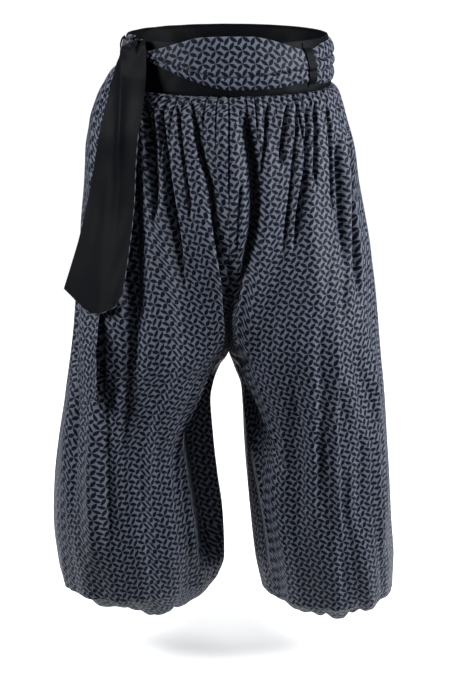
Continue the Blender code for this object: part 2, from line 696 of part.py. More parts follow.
def main():
    for existing in list(bpy.data.objects):
        bpy.data.objects.remove(existing)
    collection = bpy.data.collections.new("harem_trousers")
    bpy.context.scene.collection.children.link(collection)
    printed = cloth_material("printed_cotton", (0.070, 0.078, 0.105), 0.85)
    black = cloth_material("black_cotton", (0.012, 0.014, 0.017), 0.80)
    build_leg_panels(collection, printed)
    build_waistband(collection, black)
    build_cuffs(collection, printed)
    build_sash_wrap(collection, printed)
    build_knot(collection, black)
    black_cut = (BLACK_TAIL_TIP_DROP, BLACK_TAIL_MIDDLE_DROP, BLACK_TAIL_TIP_PLACE)
    print_cut = (PRINT_TAIL_TIP_DROP, PRINT_TAIL_MIDDLE_DROP, PRINT_TAIL_TIP_PLACE)
    build_tail("sash_tail_black", BLACK_TAIL, black_cut, TAIL_CLOTH, collection, black)
    build_tail("sash_tail_print", PRINT_TAIL, print_cut, PRINT_TAIL_CLOTH, collection, printed)
    build_loops(collection, black)


main()
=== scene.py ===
"""Harem trousers with a tie sash, dressed as cloth: gathers, folds, a small print and black trim.

Metres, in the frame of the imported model: +Z up, the wearer faces -Y, the wearer's left is +X.
"""

import logging
import math
from collections.abc import Sequence
from dataclasses import dataclass, field
from enum import Enum

import bpy
import numpy as np
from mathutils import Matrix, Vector


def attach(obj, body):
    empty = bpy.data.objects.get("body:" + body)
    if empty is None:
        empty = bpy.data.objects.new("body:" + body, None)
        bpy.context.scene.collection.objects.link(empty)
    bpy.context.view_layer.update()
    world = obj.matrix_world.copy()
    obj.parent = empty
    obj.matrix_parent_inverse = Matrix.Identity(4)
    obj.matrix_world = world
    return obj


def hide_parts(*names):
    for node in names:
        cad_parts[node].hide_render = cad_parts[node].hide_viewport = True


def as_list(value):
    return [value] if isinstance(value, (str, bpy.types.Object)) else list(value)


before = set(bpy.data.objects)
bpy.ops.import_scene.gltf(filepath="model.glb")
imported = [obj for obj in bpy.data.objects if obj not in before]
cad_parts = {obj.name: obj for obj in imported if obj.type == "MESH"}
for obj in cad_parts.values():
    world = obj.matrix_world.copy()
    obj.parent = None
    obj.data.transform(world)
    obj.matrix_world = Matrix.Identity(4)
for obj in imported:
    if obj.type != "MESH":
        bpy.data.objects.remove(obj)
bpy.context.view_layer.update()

logging.basicConfig(level=logging.INFO, format="%(message)s")
LOG = logging.getLogger("harem_trousers")

BODY = "root"
PRINT_MAP = "ClothPlace"
MATH, VECTOR_MATH = "ShaderNodeMath", "ShaderNodeVectorMath"
Tree, Socket = bpy.types.NodeTree, bpy.types.NodeSocket
Material, Piece = bpy.types.Material, bpy.types.Object
Array = np.ndarray
Pairs, Table = tuple[tuple[float, float], ...], tuple[tuple[float, ...], ...]


class Slot(Enum):
    """The record's two cloths."""

    PRINTED = "printed_cotton"
    BLACK = "black_cotton"


class Face(Enum):
    """A leg's front and back, with the sign of their Y."""

    FRONT = -1
    BACK = 1


# ---- numbers and curves


def mm(*lengths: float | tuple[float, float]) -> Array:
    """Lengths in millimetres, or pairs of them, as metres."""
    return np.array(lengths) / 1000


def rounded(length: float) -> float:
    """A length to the nearest millimetre, in metres."""
    return round(float(length), 3)


def blend(low: float, high: float, share: float) -> float:
    """The value at a share of the way from low to high."""
    return low + (high - low) * share


def ease(share: float) -> float:
    """A smooth step from 0 to 1."""
    share = np.clip(share, 0.0, 1.0)
    return share * share * (3.0 - 2.0 * share)


def bell(offset: Array, half_width: float, power: float = 2) -> Array:
    """A bump that is 1 at no offset and dies away past its half width."""
    return np.exp(-(np.abs(offset / half_width) ** power))


@dataclass(frozen=True)
class Curve:
    """A smooth curve through a table that never overshoots its values."""

    places: Sequence[float] | Array
    values: Sequence[float] | Array

    def __call__(self, place: float | Array) -> float | Array:
        """The value at a place.

        Args:
            place: where on the table, held between its ends.

        Returns:
            The value there, an array if place is one.
        """
        keys, values = np.asarray(self.places, float), np.asarray(self.values, float)
        if keys[0] > keys[-1]:
            keys, values = keys[::-1], values[::-1]
        place = np.clip(place, keys[0], keys[-1])
        steps = np.diff(keys)
        shape = (-1,) + (1,) * (values.ndim - 1)
        slopes = np.diff(values, axis=0) / steps.reshape(shape)
        rising = slopes[1:] * slopes[:-1] > 0
        sums = np.where(rising, slopes[1:] + slopes[:-1], 1)
        mean = np.where(rising, 2 * slopes[1:] * slopes[:-1] / sums, 0)
        tangents = np.concatenate([slopes[:1], mean, slopes[-1:]])
        index = np.clip(np.searchsorted(keys, place) - 1, 0, len(steps) - 1)
        step = steps[index]
        share = (place - keys[index]) / step
        if values.ndim > 1:
            share, step = np.expand_dims(share, -1), np.expand_dims(step, -1)
        bend = share * (1 - share)
        line = values[index] * (1 - share) + values[index + 1] * share
        start = (tangents[index] - slopes[index]) * (1 - share)
        end = (tangents[index + 1] - slopes[index]) * share
        return line + bend * step * (start - end)


@dataclass(frozen=True)
class Unevenness:
    """A few long waves laid over each other, so that no two folds are alike.

    across and down are the waves' middle lengths, and height is how strong they are.
    """

    seed: int
    across: float
    down: float
    height: float = 1.0
    count: int = 7
    run_spread: tuple[float, float] = (0.5, 1.5)
    fall_spread: tuple[float, float] = (-1.3, 1.3)

    def __call__(self, place: Array, level: Array, more: int = 0) -> Array:
        """The waves' sum.

        Args:
            place: places across the cloth.
            level: levels down the cloth.
            more: what a piece adds to the seed.

        Returns:
            The sum at each place, about -1 to 1 times the height.
        """
        rng = np.random.default_rng(self.seed + more)
        total = np.zeros(np.broadcast(place, level).shape)
        for _ in range(self.count):
            run = 2 * math.pi / self.across * rng.uniform(*self.run_spread)
            fall = 2 * math.pi / self.down * rng.uniform(*self.fall_spread)
            total = total + np.sin(run * place + fall * level + rng.uniform(0, 2 * math.pi))
        return self.height * (total / math.sqrt(self.count))


def row_lengths(points: Array) -> Array:
    """How far along its row each point of a grid lies."""
    steps = np.linalg.norm(np.diff(points, axis=1), axis=2)
    return np.concatenate([np.zeros((len(points), 1)), np.cumsum(steps, axis=1)], axis=1)


def column_lengths(points: Array) -> Array:
    """How far down its column each point of a grid lies."""
    return row_lengths(points.transpose(1, 0, 2)).T


def closed_up(points: Array) -> Array:
    """A grid that goes right round, with its first column once more at the end."""
    return np.concatenate([points, points[:, :1]], axis=1)


def laid_flat(points: Array) -> Array:
    """Each point's own place on the flat cloth, across and down."""
    return np.stack([row_lengths(points), -column_lengths(points)], axis=2)


def smoothed(values: Array, window: int) -> Array:
    """A row of values under a moving window, its ends held."""
    weights = np.hanning(window)
    padded = np.pad(values, window // 2, mode="edge")
    return np.convolve(padded, weights / weights.sum(), mode="valid")


# ---- finishes


def linear(code: str) -> tuple[float, float, float, float]:
    """An sRGB hex value as the linear colour that the shaders take."""
    parts = [int(code[place : place + 2], 16) / 255 for place in (1, 3, 5)]
    lit = [p / 12.92 if p <= 0.04045 else ((p + 0.055) / 1.055) ** 2.4 for p in parts]
    return (*lit, 1.0)


def add_node(
    tree: Tree, kind: str, inputs: dict | None = None, **settings: object
) -> bpy.types.Node:
    """Adds a node with its settings and links.

    Args:
        tree: the material's node tree.
        kind: the node's type, such as ShaderNodeMath.
        inputs: a value, or another node's output, for each input by name or number.
        **settings: the node's own properties.

    Returns:
        The new node.
    """
    node = tree.nodes.new(kind)
    for name, value in settings.items():
        setattr(node, name, value)
    for name, value in (inputs or {}).items():
        if isinstance(value, bpy.types.NodeSocket):
            tree.links.new(value, node.inputs[name])
        else:
            node.inputs[name].default_value = value
    return node


def new_tree(name: str) -> tuple[Material, Tree]:
    """A material with an empty node tree."""
    material = bpy.data.materials.new(name)
    material.use_nodes = True
    material.node_tree.nodes.clear()
    return material, material.node_tree


def mixed(tree: Tree, share: Socket, first: Socket | str, second: str) -> Socket:
    """Two colours mixed by a share.

    Args:
        tree: the material's node tree.
        share: how much of the second colour shows.
        first: a colour's socket or hex value.
        second: a hex value.

    Returns:
        The socket that holds the mixed colour.
    """
    start = linear(first) if isinstance(first, str) else first
    colours = {"Factor": share, 6: start, 7: linear(second)}
    return add_node(tree, "ShaderNodeMix", colours, data_type="RGBA").outputs[2]


def mottled(
    tree: Tree, place: Socket, size: float, deep: str, pale: str, detail: float = 2.0
) -> Socket:
    """A colour that wanders softly between two close ones.

    Args:
        tree: the material's node tree.
        place: the place on the surface, in metres.
        size: how large the paler and deeper patches are.
        deep: the deeper colour's hex value.
        pale: the paler colour's hex value.
        detail: how many finer layers the patches have.

    Returns:
        The socket that holds the colour.
    """
    inputs = {"Vector": place, "Scale": 1 / size, "Detail": detail}
    cloud = add_node(tree, "ShaderNodeTexNoise", inputs)
    return mixed(tree, cloud.outputs["Fac"], deep, pale)


def weave_height(tree: Tree, place: Socket, thread: float) -> Socket:
    """The height of a plain weave's threads, each over one and under the next.

    Args:
        tree: the material's node tree.
        place: the cloth's own place in metres.
        thread: the spacing of the threads in metres.

    Returns:
        The socket that holds the height, from -1 to 1.
    """
    split = add_node(tree, "ShaderNodeSeparateXYZ", {0: place})
    waves = {}
    for number, axis in enumerate("XY"):
        along = {0: split.outputs[axis], 1: math.pi / thread}
        turn = add_node(tree, MATH, along, operation="MULTIPLY").outputs[0]
        waves[number] = add_node(tree, MATH, {0: turn}, operation="SINE").outputs[0]
    return add_node(tree, MATH, waves, operation="MULTIPLY").outputs[0]


@dataclass(frozen=True)
class WovenCotton:
    """Plain-woven cotton: a fine relief of threads and the soft sheen of pressed cloth."""

    name: str
    deep: str
    pale: str
    mottle: float
    detail: float
    relief: float
    roughness: float
    specular: float
    bloom: float
    bloom_roughness: float
    ior: float = 1.5
    # Real threads are 0.25 to 0.3 mm apart, drawn at 0.9 mm so that they show.
    thread: float = 0.0009
    thread_height: float = 0.0002

    def colour(self, tree: Tree, place: Socket) -> Socket:
        """The dye's colour, a little uneven from thread to thread."""
        return mottled(tree, place, self.mottle, self.deep, self.pale, self.detail)

    def build(self) -> Material:
        """The finished material."""
        material, tree = new_tree(self.name)
        place = add_node(tree, "ShaderNodeUVMap", uv_map=PRINT_MAP).outputs["UV"]
        weave = {
            "Strength": self.relief,
            "Distance": self.thread_height,
            "Height": weave_height(tree, place, self.thread),
        }
        looks = {
            "Base Color": self.colour(tree, place),
            "Roughness": self.roughness,
            "IOR": self.ior,
            "Specular IOR Level": self.specular,
            "Sheen Weight": self.bloom,
            "Sheen Roughness": self.bloom_roughness,
            "Normal": add_node(tree, "ShaderNodeBump", weave).outputs["Normal"],
        }
        shader = add_node(tree, "ShaderNodeBsdfPrincipled", looks)
        add_node(tree, "ShaderNodeOutputMaterial", {"Surface": shader.outputs["BSDF"]})
        return material


@dataclass(frozen=True)
class PrintedCotton(WovenCotton):
    """Plain-woven cotton, dyed slate and screen-printed with pinwheels of navy petals.

    The weave is close and pressed, so it takes a soft sheen where it turns towards a light, over
    the ground and the ink alike.
    """

    name: str = "printed_cotton"
    deep: str = "#4d525e"
    pale: str = "#5c616e"
    mottle: float = 0.035
    detail: float = 4.0
    relief: float = 0.35
    roughness: float = 0.54
    specular: float = 0.09
    bloom: float = 0.04
    bloom_roughness: float = 0.45
    ink: str = "#070b18"
    repeat: float = 0.019
    petal_turn: float = 60.0
    # A petal's size and place, and the softness of its edge, as shares of the repeat.
    petal_reach: float = 0.370
    petal_half_length: float = 0.362
    petal_half_width: float = 0.150
    petal_edge: float = 0.12

    def petals(self, tree: Tree, place: Socket) -> Socket:
        """The ink's cover.

        Args:
            tree: the material's node tree.
            place: the cloth's own place in metres.

        Returns:
            The socket that holds the cover, from 0 to 1.
        """
        repeats = {0: place, "Scale": 1 / self.repeat}
        cell = add_node(tree, VECTOR_MATH, repeats, operation="SCALE").outputs[0]
        cell = add_node(tree, VECTOR_MATH, {0: cell}, operation="FRACTION").outputs[0]
        half = {0: cell, 1: (0.5, 0.5, 0.0)}
        cell = add_node(tree, VECTOR_MATH, half, operation="SUBTRACT").outputs[0]
        turn = math.radians(self.petal_turn)
        middle_x = -0.5 + self.petal_reach * math.cos(turn)
        middle_y = -0.5 + self.petal_reach * math.sin(turn)
        best = None
        for quarter in range(4):
            spin = quarter * math.pi / 2
            cos, sin = math.cos(spin), math.sin(spin)
            centre = (middle_x * cos - middle_y * sin, middle_x * sin + middle_y * cos, 0.0)
            cos, sin = math.cos(turn + spin), math.sin(turn + spin)
            along = (cos / self.petal_half_length, sin / self.petal_half_length, 0.0)
            across = (-sin / self.petal_half_width, cos / self.petal_half_width, 0.0)
            ends = {0: cell, 1: centre}
            off = add_node(tree, VECTOR_MATH, ends, operation="SUBTRACT").outputs[0]
            run, rise = [
                add_node(tree, VECTOR_MATH, {0: off, 1: way}, operation="DOT_PRODUCT").outputs[1]
                for way in (along, across)
            ]
            square = add_node(tree, MATH, {0: run, 1: run}, operation="MULTIPLY").outputs[0]
            width = add_node(tree, MATH, {0: 1.0, 1: square}, operation="SUBTRACT").outputs[0]
            height = add_node(tree, MATH, {0: rise}, operation="ABSOLUTE").outputs[0]
            both = {0: width, 1: height}
            inside = add_node(tree, MATH, both, operation="SUBTRACT").outputs[0]
            if best is not None:
                both = {0: best, 1: inside}
                inside = add_node(tree, MATH, both, operation="MAXIMUM").outputs[0]
            best = inside
        edge = {"Value": best, "From Min": -self.petal_edge, "From Max": self.petal_edge}
        cover = add_node(tree, "ShaderNodeMapRange", edge, interpolation_type="SMOOTHSTEP")
        return cover.outputs["Result"]

    def colour(self, tree: Tree, place: Socket) -> Socket:
        """The dyed ground with the ink over it."""
        return mixed(tree, self.petals(tree, place), super().colour(tree, place), self.ink)


@dataclass(frozen=True)
class BlackCotton(WovenCotton):
    """Black cotton poplin, close and smooth, with a faint cool sheen on its turned edges."""

    name: str = "black_cotton"
    deep: str = "#040508"
    pale: str = "#090c10"
    mottle: float = 0.030
    detail: float = 5.0
    relief: float = 0.3
    roughness: float = 0.52
    specular: float = 0.05
    bloom: float = 0.01
    bloom_roughness: float = 0.4


@dataclass(frozen=True)
class StudioPaper:
    """Matt white paper that glows a little: painted light, in place of a table lit from below, so
    that it takes only soft, pale shadows.
    """

    name: str = "studio_paper"
    colour: str = "#fbfbfc"
    fibre: str = "#f5f6f8"
    fibre_size: float = 0.4
    roughness: float = 0.95
    specular: float = 0.1
    # The glow is painted light: the paper lights itself and its shadows, with no lamp under it.
    glow: float = 0.33

    def build(self) -> Material:
        """The finished material."""
        material, tree = new_tree(self.name)
        place = add_node(tree, "ShaderNodeTexCoord").outputs["Object"]
        tone = mottled(tree, place, self.fibre_size, self.fibre, self.colour)
        looks = {
            "Base Color": tone,
            "Roughness": self.roughness,
            "Specular IOR Level": self.specular,
            # Painted light: the paper glows in its own tone.
            "Emission Color": tone,
            "Emission Strength": self.glow,
        }
        shader = add_node(tree, "ShaderNodeBsdfPrincipled", looks)
        add_node(tree, "ShaderNodeOutputMaterial", {"Surface": shader.outputs["BSDF"]})
        return material


@dataclass(frozen=True)
class Finishes:
    """The materials, made once and shared by the pieces."""

    printed: Material
    black: Material
    paper: Material

    @classmethod
    def made(cls) -> "Finishes":
        """All finishes, built."""
        return cls(PrintedCotton().build(), BlackCotton().build(), StudioPaper().build())

    def of(self, slot: Slot) -> Material:
        """The material that dresses a slot of the record."""
        return self.printed if slot is Slot.PRINTED else self.black


# ---- sheets of cloth


@dataclass
class ClothSheet:
    """A thin sheet of cloth on a grid of points, rows down and columns across.

    outward is 1 or -1, whichever turns the grid's normals away from the body. places holds
    each point's own place on the flat cloth, in metres, one column more where the sheet closes.
    Where none are given, the grid is laid flat for them.
    """

    name: str
    points: Array
    thickness: float
    outward: int = 1
    closed: bool = False
    places: Array | None = None
    crease_angle: float = 55.0

    def normals(self) -> Array:
        """The outward normals of the grid."""
        if self.closed:
            across = np.roll(self.points, -1, axis=1) - np.roll(self.points, 1, axis=1)
        else:
            across = np.gradient(self.points, axis=1)
        normals = self.outward * np.cross(across, np.gradient(self.points, axis=0))
        return normals / np.maximum(np.linalg.norm(normals, axis=2, keepdims=True), 1e-12)

    def build(self, finish: Material) -> Piece:
        """Makes the sheet's object.

        Args:
            finish: the material that it wears.

        Returns:
            The object: a closed wall with the cloth's thickness, or one face where that is 0.
        """
        if self.places is None:
            self.places = laid_flat(closed_up(self.points) if self.closed else self.points)
        rows, columns = self.points.shape[:2]
        inner = self.points - self.thickness * self.normals()
        walls = [self.points, inner] if self.thickness else [self.points]
        corners = np.concatenate([wall.reshape(-1, 3) for wall in walls])
        spans = columns if self.closed else columns - 1
        row, column = [part.ravel() for part in np.mgrid[0 : rows - 1, 0:spans]]
        around = [(row + down, column + after) for down, after in ((0, 0), (1, 0), (1, 1), (0, 1))]
        quads = np.stack([down * columns + across % columns for down, across in around], axis=1)
        flat = np.stack([self.places[corner] for corner in around], axis=1)
        under = rows * columns
        faces, flats = [quads], [flat]
        if self.thickness:
            faces.append(quads[:, ::-1] + under)
            flats.append(flat[:, ::-1])
            for start, end, start_flat, end_flat in self.rims(rows, columns):
                faces.append(np.stack([end, start, start + under, end + under], axis=1))
                flats.append(np.stack([end_flat, start_flat, start_flat, end_flat], axis=1))
        mesh = bpy.data.meshes.new(self.name)
        mesh.from_pydata(corners.tolist(), [], np.concatenate(faces).tolist())
        layer = mesh.uv_layers.new(name=PRINT_MAP)
        layer.uv.foreach_set("vector", np.concatenate(flats).astype(np.float32).ravel())
        if self.outward < 0:
            mesh.flip_normals()
        mesh.shade_smooth()
        mesh.set_sharp_from_angle(angle=math.radians(self.crease_angle))
        mesh.materials.append(finish)
        piece = bpy.data.objects.new(self.name, mesh)
        bpy.context.scene.collection.objects.link(piece)
        return piece

    def rims(self, rows: int, columns: int) -> list[tuple[Array, ...]]:
        """The sheet's edges, as the runs of corners that the wall's narrow faces join."""
        last = (rows - 1) * columns
        across = np.arange(columns)
        top, foot = self.places[0], self.places[-1]
        if self.closed:
            after = (across + 1) % columns
            return [
                (after, across, top[across + 1], top[across]),
                (last + across, last + after, foot[across], foot[across + 1]),
            ]
        left, right = self.places[:, 0], self.places[:, -1]
        down = np.arange(rows) * columns
        far = down + columns - 1
        return [
            (down[:-1], down[1:], left[:-1], left[1:]),
            (last + across[:-1], last + across[1:], foot[:-1], foot[1:]),
            (far[1:], far[:-1], right[1:], right[:-1]),
            (across[1:], across[:-1], top[1:], top[:-1]),
        ]

    def dress(self, finishes: Finishes, slot: Slot, *nodes: str) -> Piece:
        """Makes the sheet in its slot's finish, and seats it on the garment.

        Args:
            finishes: the materials.
            slot: the record's slot that it takes its finish from.
            *nodes: the nodes that it stands for.

        Returns:
            The seated piece.
        """
        piece = self.build(finishes.of(slot))
        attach(piece, BODY)
        if nodes:
            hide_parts(*nodes)
        faces, stands_for = len(piece.data.polygons), ", ".join(nodes) or "no node"
        LOG.info("%s: %d faces, for %s", piece.name, faces, stands_for)
        return piece


# ---- the waist's oval


@dataclass(frozen=True)
class WaistOval:
    """The waistband's outer face: an oval ring, lower at the front, that leans in on the left."""

    half_width: float = 0.1575
    half_depth: float = 0.118
    tilt: float = 0.03
    # The wearer's left side leans in by this much at the band's upper edge.
    lean: float = 0.006
    lean_from: float = -0.037
    lean_height: float = 0.076
    lean_end: float = 1.1
    turn_steps: int = 2161

    def points(self, turn: Array, out: Array, level: Array) -> Array:
        """Points at turns in degrees to the wearer's left, moved out from the band's face."""
        turn, out, level = np.broadcast_arrays(turn, out, level)
        angle = np.radians(turn)
        leant = self.lean * np.clip((level - self.lean_from) / self.lean_height, 0, self.lean_end)
        out = out - leant * np.maximum(np.sin(angle), 0) ** 2
        x = (self.half_width + out) * np.sin(angle)
        y = -(self.half_depth + out) * np.cos(angle)
        return np.stack([x, y, level + self.tilt * y], axis=-1)

    def slope(self, angle: Array) -> Array:
        """How far the ring runs for each radian at an angle."""
        return np.hypot(self.half_width * np.cos(angle), self.half_depth * np.sin(angle))

    def run(self, turn: Array) -> Array:
        """How far round the ring a turn is from the centre front, in metres."""
        fine = np.radians(np.linspace(-180, 360, self.turn_steps))
        steps = self.slope(fine)
        lengths = np.concatenate([[0.0], np.cumsum((steps[1:] + steps[:-1]) / 2 * np.diff(fine))])
        lengths -= np.interp(0.0, fine, lengths)
        return np.interp(np.radians(turn), fine, lengths)


WAIST = WaistOval()


# ---- the legs

DEPTH_LEVELS = mm(-37, -50, -80, -140, -220, -320, -420, -520, -640, -760, -828, -885)


@dataclass(frozen=True)
class LegForm:
    """One leg's plain outer form, with its side of the hips, before any fold."""

    name: str
    side: int
    outer: Curve
    front_turn: Curve
    inseam: Curve
    ankle: float
    hem_start: float
    crotch_level: float = -0.457
    rise_level: float = -0.130
    fullness: float = 0.85
    seam_reach: float = 0.35
    inseam_reach: float = 0.20
    front_depth: Curve = Curve(
        DEPTH_LEVELS, mm(119, 130, 140, 148, 153, 156, 154, 148, 140, 132, 123, 112)
    )
    back_depth: Curve = Curve(
        DEPTH_LEVELS, mm(119, 134, 152, 168, 176, 176, 170, 160, 150, 142, 133, 120)
    )

    def row(self, face: Face, level: float, shares: Array) -> tuple[Array, Array]:
        """The form's outline at a level.

        Args:
            face: the front or the back.
            level: the height of the row.
            shares: places from 0 at the inseam, or the centre seam, to 1 at the side seam.

        Returns:
            The row's x and y.
        """
        fall = (self.rise_level - level) / (self.rise_level - self.crotch_level)
        fall = min(max(fall, 0.0), 1.0)
        seam, whole = math.sqrt(1.0 - fall**2), 1.0 - float(ease(fall))
        outer, inseam = self.outer(level), self.inseam(level)
        turn = self.front_turn(level) if face is Face.FRONT else inseam
        depth = (self.front_depth if face is Face.FRONT else self.back_depth)(level)
        inner = blend(inseam, turn, ease(shares / self.inseam_reach))
        angles = math.pi * shares
        across = blend(inner, outer, (1 - np.cos(angles)) / 2)
        x = blend(across, outer * np.sin(angles / 2), whole)
        y = blend(np.abs(np.sin(angles)) ** self.fullness, np.cos(angles / 2), whole)
        y = y + (seam - whole) * ease(1 - shares / self.seam_reach)
        return self.side * x, face.value * depth * y


RIGHT_LEG = LegForm(
    "right",
    -1,
    outer=Curve(
        mm(-37, -46, -70, -120, -200, -300, -390, -457, -490, -524, -557, -620, -690, -756, -828,
           -864),
        mm(159, 195, 214, 223, 228, 237, 245, 253, 258, 263, 268, 279, 287, 290, 285, 279),
    ),
    front_turn=Curve(
        mm(-37, -390, -457, -490, -524, -557, -620, -690, -756, -828, -864),
        mm(0, 0, 2, 22, 38, 54, 70, 64, 54, 48, 50),
    ),
    inseam=Curve(
        mm(-37, -457, -490, -524, -557, -620, -690, -756, -828, -864),
        mm(0, 0, 15, 27, 32, 28, 21, 12, 9, 20),
    ),
    ankle=0.141,
    hem_start=-0.864,
)
LEFT_LEG = LegForm(
    "left",
    1,
    outer=Curve(
        mm(-37, -55, -95, -138, -190, -296, -387, -457, -490, -524, -557, -620, -690, -756, -828,
           -885),
        mm(159, 172, 185, 197, 204, 224, 236, 243, 246.5, 250, 253, 259, 265, 269, 274.5, 274.5),
    ),
    front_turn=Curve(
        mm(-37, -387, -457, -490, -524, -557, -620, -690, -756, -828, -885),
        mm(0, 0, 2, 13, 27, 42, 52, 48, 55, 64, 70),
    ),
    inseam=Curve(
        mm(-37, -457, -490, -524, -557, -620, -690, -756, -828, -885),
        mm(0, 0, 9, 21, 24, 27, 32, 38, 46, 58),
    ),
    ankle=0.168,
    hem_start=-0.880,
)


@dataclass(frozen=True)
class Crease:
    """A soft trough that runs down one face of the trousers, or a ridge if its depth is below 0.

    path holds (distance from the middle plane, level) from top to bottom. crisp is 2 for a round
    trough and nearer 1 for a knife edge. lean widens the side towards the wearer's left.
    """

    path: Array
    half_width: float
    depth: float
    crisp: float = 1.7
    lean: float = 0.0
    fade_in: float = 0.18
    fade_out: float = 0.30
    top_width: float = 0.7
    foot_width: float = 1.2
    # A crease that starts below this level starts a little abruptly.
    hip_level: float = -0.2
    begun: float = 0.25

    @property
    def side(self) -> int:
        """Which leg its middle lies on."""
        return 1 if self.path[len(self.path) // 2][0] > 0 else -1

    def centre(self, level: float) -> tuple[float, float] | None:
        """Where the crease runs at a level.

        Args:
            level: the height asked for.

        Returns:
            Its distance from the middle plane and its share of the way down, or None past its ends.
        """
        top, bottom = self.path[0][1], self.path[-1][1]
        if not bottom < level < top:
            return None
        x = Curve(self.path[:, 1], self.path[:, 0])(level)
        return float(x), (top - level) / (top - bottom)

    def sunk(self, offset: Array, down: float) -> Array:
        """How far the crease sinks points at an offset from its middle."""
        width = self.half_width * blend(self.top_width, self.foot_width, down)
        width = width * np.where(offset > 0, 1 + self.lean, 1 - self.lean)
        begun = self.begun if self.path[0][1] > self.hip_level else 0.0
        strength = ease(down / self.fade_in + begun) * ease((1 - down) / self.fade_out)
        return self.depth * strength * bell(offset, width, self.crisp)


